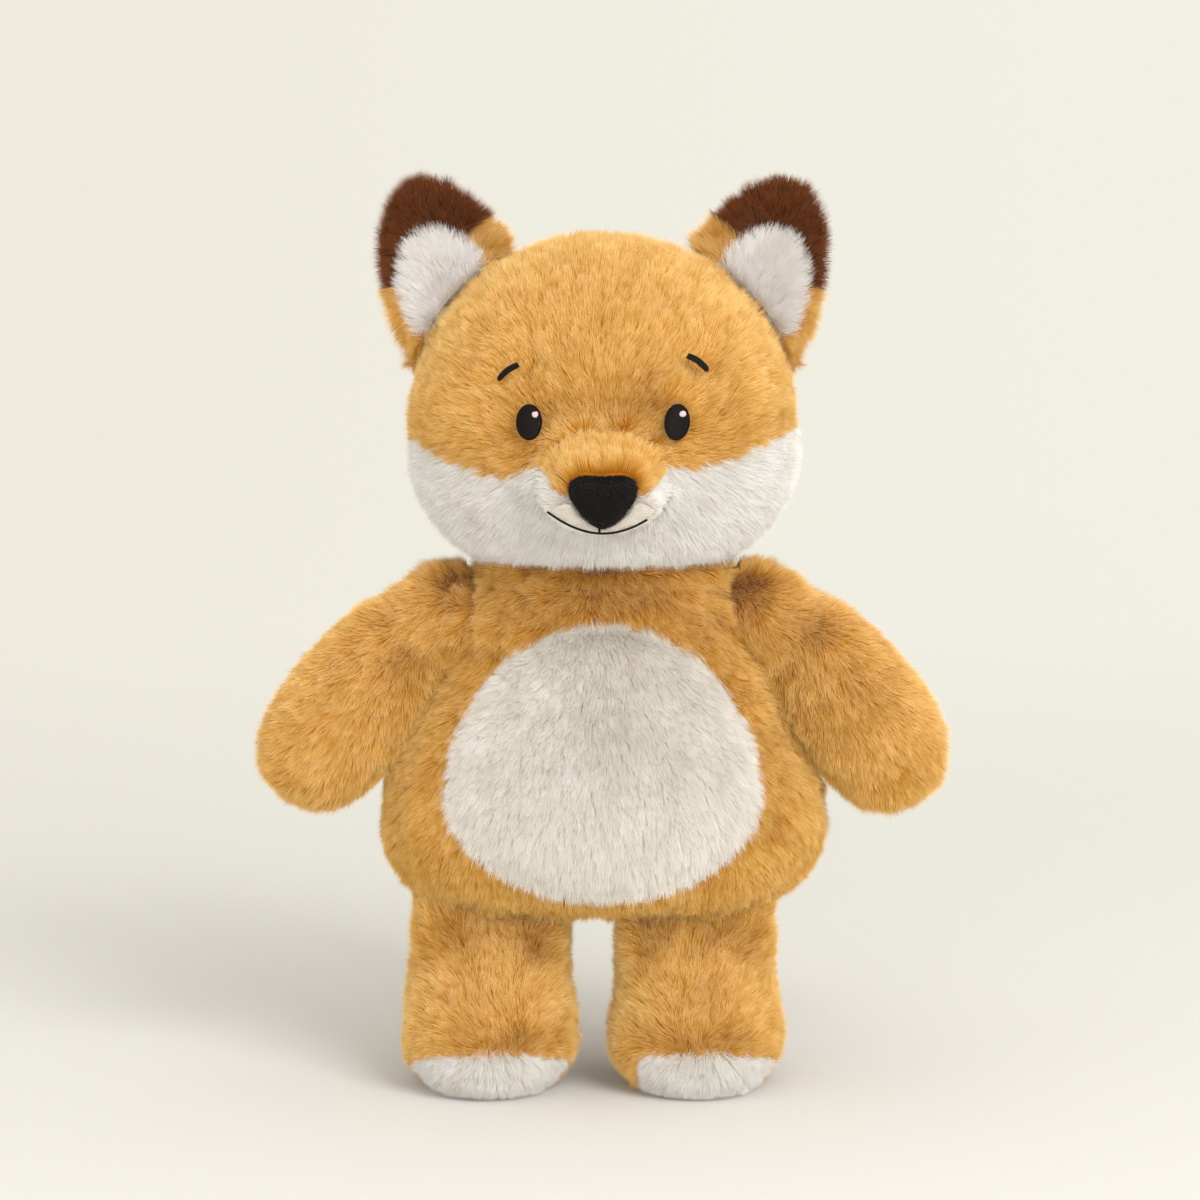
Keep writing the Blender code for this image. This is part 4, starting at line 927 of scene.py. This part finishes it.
def drawn_in_form(form, settings):
    """One form's cloth, drawn in by the depth of the pile and held where it touches another body."""
    body, panels, inside = FORMS[form]
    obj = new_object(form + "_cloth", joined_nodes(form + "_cloth", panels + inside))
    voxel, bed, swell = form_sizes(form, settings)
    remesh = obj.modifiers.new("Cloth", "REMESH")
    remesh.mode = "VOXEL"
    remesh.voxel_size = voxel
    mesh = largest_part(settled_mesh(obj, form + "_cloth"))
    obj.modifiers.clear()
    obj.data = mesh
    free = smooth_step(free_way(mesh, others_than(body)), TOUCH_NEAR, TOUCH_FAR)
    if form == "head":
        free = free * smooth_step(distance_to(mesh, SEWN_ON), SEWN_NEAR, SEWN_FAR)
    drawn = settings.touch_bed + (bed + swell - settings.touch_bed) * free
    # The soles' short pile stands on the floor.
    facing_down = smooth_step(-normals_of(mesh)[:, 2], SOLE_EDGE, SOLE_FLAT)
    on_floor = facing_down * smooth_step(-points_of(mesh)[:, 2], -settings.bed, 0.0)
    drawn += (settings.sole_bed - drawn) * on_floor
    set_points(mesh, points_of(mesh) - normals_of(mesh) * drawn[:, None])
    held = obj.vertex_groups.new(name="held")
    for index, share in enumerate(free * (1.0 - on_floor)):
        held.add([index], 1.0 - float(share), "REPLACE")
    return obj


class PLUSHFOX_OT_forms(bpy.types.Operator):
    """Makes the stuffed forms: the model's solids, drawn in by the pile and blown up as cloth"""

    bl_idname = "plushfox.forms"
    bl_label = "Make Stuffed Forms"

    def execute(self, context):
        settings = context.scene.plush_fox_forms
        pile_finishes(context.scene.plush_fox_colours)
        made = [drawn_in_form(form, settings) for form in FORMS]
        blow_up([obj for obj in made if not obj.name.startswith("ear")], settings)
        for obj, (form, (body, panels, inside)) in zip(made, FORMS.items()):
            obj.vertex_groups.clear()
            crease_seams(obj.data, panels, settings)
            finer = obj.modifiers.new("Finer", "SUBSURF")
            finer.levels = 1
            finer.render_levels = 1
            mesh = settled_mesh(obj, form + "_cloth")
            obj.modifiers.clear()
            obj.data = mesh
            mesh.shade_smooth()
            mesh.materials.clear()
            for panel in panels:
                mesh.materials.append(MATERIALS[PILES[panel].finish + " cloth"])
            number_panels(form, mesh, panels)
            room = mesh.attributes.new("room", "FLOAT", "POINT")
            room.data.foreach_set("value", free_way(mesh, others_than(body)).astype(np.float32))
            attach(obj, body)
            if inside:
                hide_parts(*inside)
        return {"FINISHED"}


class PLUSHFOX_OT_pile(bpy.types.Operator):
    """Grows the plush pile on every sewn panel"""

    bl_idname = "plushfox.pile"
    bl_label = "Grow Pile"

    def execute(self, context):
        settings = context.scene.plush_fox_pile
        tree = pile_tree()
        strand = strand_object()
        helpers = [strand]
        seed = 0
        for form, (body, panels, _) in FORMS.items():
            trims = new_object(form + "_trims", joined_nodes(form + "_trims", CLEAR_OF.get(form, STITCHED)))
            helpers.append(trims)
            for number, panel in enumerate(panels):
                pile = PILES[panel]
                seed += 1
                if pile.finish in VELOURS:
                    length, width, density = settings.velour, settings.velour_width, settings.velour_density
                else:
                    length, width, density = settings.length, settings.width, settings.density
                values = {
                    "Panel": number,
                    "Trims": trims,
                    "Strand": strand,
                    "Density": density * pile.fine,
                    "Length": length * pile.length,
                    "Width": width / pile.fine**0.5,
                    "Lay": settings.lay,
                    "Lock Size": settings.clump,
                    "Lock Pull": settings.pull * (VELOUR_PULL if pile.finish in VELOURS else 1.0),
                    "Swirl Size": settings.swirl,
                    "Swirl": settings.swirl_strength * (1.0 if pile.finish == "orange" else PALE_SWIRL),
                    "Away From": pile.away,
                    "Spread": pile.spread,
                    "Towards": pile.towards,
                    "Clear Of Trims": pile.shy,
                    "Tone": pile.tone,
                    "Room From": settings.least_room,
                    "Seed": seed,
                    "Finish": MATERIALS[pile.finish],
                }
                cloth = bpy.data.objects[form + "_cloth"].data.copy()
                grown = new_object(panel + "_pile", grown_mesh(panel + "_pile", cloth, tree, values))
                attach(grown, body)
                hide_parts(panel)
        for helper in helpers:
            bpy.data.objects.remove(helper)
        return {"FINISHED"}


def thread_object():
    """One laid thread along X, a unit long and a unit thick, with drawn-in ends."""
    shape = bmesh.new()
    rings = []
    for along, share in THREAD_RINGS:
        turns = [2 * math.pi * side / THREAD_SIDES for side in range(THREAD_SIDES)]
        ring = [(along, share * math.cos(turn) / 2, share * math.sin(turn) / 2) for turn in turns]
        rings.append([shape.verts.new(place) for place in ring])
    for low, high in zip(rings, rings[1:]):
        for side in range(THREAD_SIDES):
            after = (side + 1) % THREAD_SIDES
            shape.faces.new((low[side], low[after], high[after], high[side]))
    shape.faces.new(rings[0][::-1])
    shape.faces.new(rings[-1])
    bmesh.ops.recalc_face_normals(shape, faces=shape.faces)
    mesh = mesh_of(shape, "thread")
    mesh.shade_smooth()
    return new_object("thread", mesh)


def satin_tree():
    """Threads laid side by side across an oval, which swells forwards and may bow to one side."""
    tree, node, given = new_tree("satin_stitch", SATIN_INPUTS)
    pitch = node(MATH, (given["Thickness"], THREAD_PITCH), operation="MULTIPLY")
    rows = node(MATH, (given["Height"], pitch), operation="DIVIDE")
    first = node(MATH, (pitch, given["Height"]), operation="SUBTRACT")
    first = node(MATH, (first, 0.5), operation="MULTIPLY")
    start = node(COMBINE, {"Z": first})
    step = node(COMBINE, {"Z": pitch})
    line = node("GeometryNodeMeshLine", {"Count": rows, "Start Location": start, "Offset": step})
    place = node("GeometryNodeInputPosition")
    half = node(VECTOR, (place, (0.0, 0.0, 2.0)), "Value", operation="DOT_PRODUCT")
    up = node(MATH, (half, given["Height"]), operation="DIVIDE")
    up_square = node(MATH, (up, up), operation="MULTIPLY")
    left_over = node(MATH, (1.0, up_square), operation="SUBTRACT", use_clamp=True)
    ends = node(MATH, (up_square, given["Blunt"]), operation="POWER")
    ends = node(MATH, (1.0, ends), operation="SUBTRACT", use_clamp=True)
    wide = node(MATH, (ends,), operation="SQRT")
    wide = node(MATH, (wide, given["Across"]), operation="MULTIPLY")
    thread_draw = {2: THREAD_LENGTHS[0], 3: THREAD_LENGTHS[1], "Seed": given["Seed"]}
    uneven = node(RANDOM, thread_draw, 1, data_type="FLOAT")
    wide = node(MATH, (wide, uneven), operation="MULTIPLY")
    size = node(COMBINE, (wide, given["Thickness"], given["Thickness"]))
    real = real_copies(node, given["Thread"], {"Points": line, "Scale": size})

    # On the real threads, the same share up the oval gives the swell and the bow.
    side = node(VECTOR, (place, (2.0, 0.0, 0.0)), "Value", operation="DOT_PRODUCT")
    over = node(MATH, (side, given["Across"]), operation="DIVIDE")
    over_square = node(MATH, (over, over), operation="MULTIPLY")
    inside = node(MATH, (left_over, over_square), operation="SUBTRACT", use_clamp=True)
    swell = node(MATH, (inside,), operation="SQRT")
    swell = node(MATH, (swell, given["Dome"]), operation="MULTIPLY")
    forwards = node(MATH, (swell, -1.0), operation="MULTIPLY")
    bow = node(MATH, (left_over, given["Bow"]), operation="MULTIPLY")
    offset = node(COMBINE, {"X": bow, "Y": forwards})
    real = node("GeometryNodeSetPosition", {"Geometry": real, "Offset": offset})
    hand_out(node, real, given["Finish"])
    return tree


def line_stitch_tree():
    """Stitches one after another along the edges of a mesh."""
    tree, node, given = new_tree("line_stitch", LINE_INPUTS)
    curve = node("GeometryNodeMeshToCurve", (given["Geometry"],))
    evenly = node("GeometryNodeResampleCurve", {"Curve": curve, "Length": given["Step"]}, mode="LENGTH")
    ahead = node("GeometryNodeInputTangent")
    turned = node("FunctionNodeAlignRotationToVector", {"Vector": ahead}, axis="X")
    size = node(COMBINE, (given["Stitch"], given["Thickness"], given["Thickness"]))
    real = real_copies(node, given["Thread"], {"Points": evenly, "Rotation": turned, "Scale": size})
    hand_out(node, real, given["Finish"])
    return tree


def drawing_place(node, lift):
    """Where a flat drawing in X and Z goes to lie on one of the model's oval pieces, and that oval's size."""
    points = points_of(NODES[node].data)
    _, _, axes = np.linalg.svd(points - points.mean(0), full_matrices=False)
    up = axes[0] * math.copysign(1, axes[0][2])
    front = axes[2] * math.copysign(1, -axes[2][1])
    across = np.cross(up, front)
    low = np.array([(points @ axis).min() for axis in (across, front, up)])
    high = np.array([(points @ axis).max() for axis in (across, front, up)])
    middle = across * (low + high)[0] / 2 + front * (high[1] + lift) + up * (low + high)[2] / 2
    place = Matrix((across, -front, up)).transposed().to_4x4()
    place.translation = Vector(middle)
    return place, high[0] - low[0], high[2] - low[2]


def line_mesh(name, lines):
    """A mesh of edges through each line's points."""
    shape = bmesh.new()
    for line in lines:
        verts = [shape.verts.new(place) for place in line]
        for start, end in zip(verts, verts[1:]):
            shape.edges.new((start, end))
    return mesh_of(shape, name)


def mouth_lines(settings):
    """The middle of the mouth's line, and the short stitch up to the nose."""
    points = points_of(NODES["mouth_stitch"].data)
    up_fit = np.polyfit(points[:, 0], points[:, 2], MOUTH_UP_POWER)
    back_fit = np.polyfit(points[:, 0], points[:, 1], MOUTH_BACK_POWER)
    line = []
    for side in np.linspace(points[:, 0].min(), points[:, 0].max() - 2 * settings.mouth_stitch, MOUTH_STEPS):
        back = np.polyval(back_fit, side) - settings.mouth_lift
        line.append(Vector((side, back, np.polyval(up_fit, side))))
    middle = min(line, key=lambda place: abs(place.x - settings.mouth_middle))
    up = Vector((0, 0, settings.mouth_stitch / 2))
    return [line, [middle + up, middle + up * 2]]


def add_to_head(name, parts, finish, node):
    """Joins meshes into one piece of the face."""
    shape = bmesh.new()
    for part in parts:
        shape.from_mesh(part)
    mesh = mesh_of(shape, name)
    mesh.materials.clear()
    mesh.materials.append(MATERIALS[finish])
    mesh.shade_smooth()
    piece = new_object(name, mesh)
    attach(piece, "head")
    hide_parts(node)


class PLUSHFOX_OT_stitches(bpy.types.Operator):
    """Embroiders the eyes, glints, brows and mouth"""

    bl_idname = "plushfox.stitches"
    bl_label = "Embroider Face"

    def execute(self, context):
        settings = context.scene.plush_fox_stitches
        satin, row, thread = satin_tree(), line_stitch_tree(), thread_object()
        empty = bpy.data.meshes.new("empty")
        seed = 0
        for hand in ("left", "right"):
            eye, glint, brow = f"eye_{hand}", f"eye_{hand}_glint", f"brow_{hand}"
            for node, dome, bow, lift, thickness, finish, slot in (
                (eye, settings.eye_dome, 0.0, settings.eye_lift, 1.0, "dark thread", "dark_thread"),
                (glint, SMALL_DOME, 0.0, SMALL_LIFT, GLINT_THREAD, "pale thread", "pale_thread"),
                (brow, SMALL_DOME, settings.brow_arch, SMALL_LIFT, BROW_THREAD, "dark thread", "dark_thread"),
            ):
                seed += 1
                place, across, height = drawing_place(node, lift)
                if node == eye:
                    across, height = across - RIM_ACROSS * settings.rim, height - RIM_UP * settings.rim
                if node == glint:
                    across, height = across * GLINT_SHARE, height * GLINT_SHARE
                if node == brow:
                    across = settings.brow_width
                    bow *= math.copysign(1, place.col[0].z)
                values = {
                    "Thread": thread,
                    "Across": across,
                    "Height": height,
                    "Dome": dome,
                    "Bow": bow,
                    "Blunt": BROW_BLUNT if node == brow else 1.0,
                    "Thickness": settings.thread * thickness,
                    "Seed": seed,
                    "Finish": MATERIALS[finish],
                }
                parts = [grown_mesh(node + "_satin", empty, satin, values)]
                if node == eye:
                    turns = [2 * math.pi * step / RIM_STEPS for step in range(RIM_STEPS + 1)]
                    oval = [(across / 2 * math.cos(t), 0.0, height / 2 * math.sin(t)) for t in turns]
                    values = {
                        "Thread": thread,
                        "Step": settings.rim * RIM_STEP,
                        "Stitch": settings.rim * RIM_STITCH,
                        "Thickness": settings.rim,
                        "Finish": MATERIALS[finish],
                    }
                    parts.append(grown_mesh("rim", line_mesh("rim", [oval]), row, values))
                for part in parts:
                    part.transform(place)
                add_to_head(node + "_satin", parts, finish, node)
        values = {
            "Thread": thread,
            "Step": settings.mouth_step,
            "Stitch": settings.mouth_stitch,
            "Thickness": settings.mouth_thread,
            "Finish": MATERIALS["dark thread"],
        }
        line = grown_mesh("mouth", line_mesh("mouth", mouth_lines(settings)), row, values)
        add_to_head("mouth_stitches", [line], "dark thread", "mouth_stitch")
        bpy.data.objects.remove(thread)
        return {"FINISHED"}


class PLUSHFOX_OT_stage(bpy.types.Operator):
    """Makes the floor, backdrop, lamps and camera"""

    bl_idname = "plushfox.stage"
    bl_label = "Make Stage"

    def execute(self, context):
        settings = context.scene.plush_fox_stage
        scene = context.scene
        middle = (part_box("torso_front_panel")[1].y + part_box("torso_back_panel")[0].y) / 2
        aim = Vector((settings.aim_side, middle, settings.aim_height))
        up = settings.elevation
        camera = new_object("camera", bpy.data.cameras.new("camera"))
        camera.location = aim + Vector((0, -math.cos(up), math.sin(up))) * settings.distance
        camera.rotation_euler = (math.pi / 2 - up, 0, 0)
        camera.data.lens = camera.data.sensor_width * settings.distance / settings.view_width
        camera.data.clip_end = CLIP_END
        scene.camera = camera

        backdrop = new_object("backdrop", sweep_mesh(*BACKDROP))
        paper = paper_material(tuple(settings.floor), tuple(settings.far_left_painted_shade), tuple(settings.far_right_painted_light))
        backdrop.data.materials.append(paper)

        for name, (place, size), power in (
            ("key", KEY_LAMP, settings.key),
            ("front", FRONT_LAMP, settings.fill),
        ):
            lamp = new_object(name, bpy.data.lights.new(name, "AREA"))
            lamp.data.size = size
            lamp.data.energy = power
            lamp.location = place
            lamp.rotation_euler = (aim - Vector(place)).to_track_quat("-Z", "Y").to_euler()
        world = bpy.data.worlds.new("studio")
        scene.world = world
        world.use_nodes = True
        sky = {"Strength": settings.sky, "Color": (*settings.sky_colour, 1.0)}
        fill_inputs(world.node_tree, world.node_tree.nodes["Background"], sky)
        scene.view_settings.view_transform = "Standard"
        return {"FINISHED"}


def sweep_mesh(half_width, front, rear, radius):
    """A floor that turns up into a backdrop with no edge between them."""
    line = [(-front, 0.0), (rear - radius, 0.0)]
    for number in range(1, SWEEP_STEPS + 1):
        turn = math.pi / 2 * number / SWEEP_STEPS
        line.append((rear - radius + radius * math.sin(turn), radius - radius * math.cos(turn)))
    line.append((rear, BACKDROP_HEIGHT))
    shape = bmesh.new()
    left = [shape.verts.new((-half_width, y, z)) for y, z in line]
    right = [shape.verts.new((half_width, y, z)) for y, z in line]
    for index in range(len(line) - 1):
        shape.faces.new((left[index], right[index], right[index + 1], left[index + 1]))
    mesh = mesh_of(shape, "backdrop")
    mesh.shade_smooth()
    return mesh


def paper_material(colour, far_left_painted_shade, far_right_painted_light):
    """Seamless background paper: cream and dull. Further back it is seen as pale paper that glows, painted
    darker on the left and lighter on the right as if lit from the right.
    """
    made, tree, node, shader = new_material("cream background paper")
    fill_inputs(
        tree, shader, {"Base Color": (*colour, 1.0), "Roughness": 0.9, "Specular IOR Level": 0.1}
    )
    place = node("ShaderNodeTexCoord", output="Object")
    parts = node(SEPARATE, (place,)).node.outputs
    back = node(MAP_RANGE, (parts["Y"], FAR_FROM, FAR_TO), interpolation_type="SMOOTHSTEP")
    side = node(MAP_RANGE, (parts["X"], -FAR_SIDE, FAR_SIDE))
    # Painted light: the far paper is darker on the left and lighter on the right, as if lit from the right.
    pale = node("ShaderNodeMix", {0: side, 6: (*far_left_painted_shade, 1.0), 7: (*far_right_painted_light, 1.0)}, 2, data_type="RGBA")
    glow = node("ShaderNodeEmission", {"Color": pale})
    ray = node("ShaderNodeLightPath").node.outputs
    seen = node(MATH, (ray["Is Camera Ray"], ray["Is Glossy Ray"]), operation="MAXIMUM")
    seen = node(MATH, (seen, ray["Is Transmission Ray"]), operation="MAXIMUM")
    share = node(MATH, (seen, back), operation="MULTIPLY")
    mixed = node("ShaderNodeMixShader", (share, shader.outputs[0], glow))
    fill_inputs(tree, tree.nodes["Material Output"], {"Surface": mixed})
    return made


class PLUSHFOX_PT_panel(bpy.types.Panel):
    """Shows the buttons and settings of the plush fox"""

    bl_idname = "PLUSHFOX_PT_panel"
    bl_label = "Plush Fox"
    bl_space_type = "VIEW_3D"
    bl_region_type = "UI"
    bl_category = "Plush Fox"

    def draw(self, context):
        for operator in OPERATORS:
            self.layout.operator(operator.bl_idname)
        for name in SETTINGS:
            group = getattr(context.scene, name)
            box = self.layout.box()
            for key in group.__annotations__:
                box.prop(group, key)


OPERATORS = (PLUSHFOX_OT_forms, PLUSHFOX_OT_pile, PLUSHFOX_OT_stitches, PLUSHFOX_OT_stage)
SETTINGS = {
    "plush_fox_forms": PlushFoxForms,
    "plush_fox_pile": PlushFoxPile,
    "plush_fox_stitches": PlushFoxStitches,
    "plush_fox_colours": PlushFoxColours,
    "plush_fox_stage": PlushFoxStage,
}


def register():
    for group in SETTINGS.values():
        bpy.utils.register_class(group)
    for name, group in SETTINGS.items():
        setattr(bpy.types.Scene, name, PointerProperty(type=group))
    for operator in OPERATORS:
        bpy.utils.register_class(operator)
    bpy.utils.register_class(PLUSHFOX_PT_panel)


def unregister():
    bpy.utils.unregister_class(PLUSHFOX_PT_panel)
    for operator in reversed(OPERATORS):
        bpy.utils.unregister_class(operator)
    for name in SETTINGS:
        delattr(bpy.types.Scene, name)
    for group in SETTINGS.values():
        bpy.utils.unregister_class(group)


def main():
    register()
    bpy.ops.plushfox.forms()
    bpy.ops.plushfox.pile()
    bpy.ops.plushfox.stitches()
    bpy.ops.plushfox.stage()


if __name__ == "__main__":
    main()
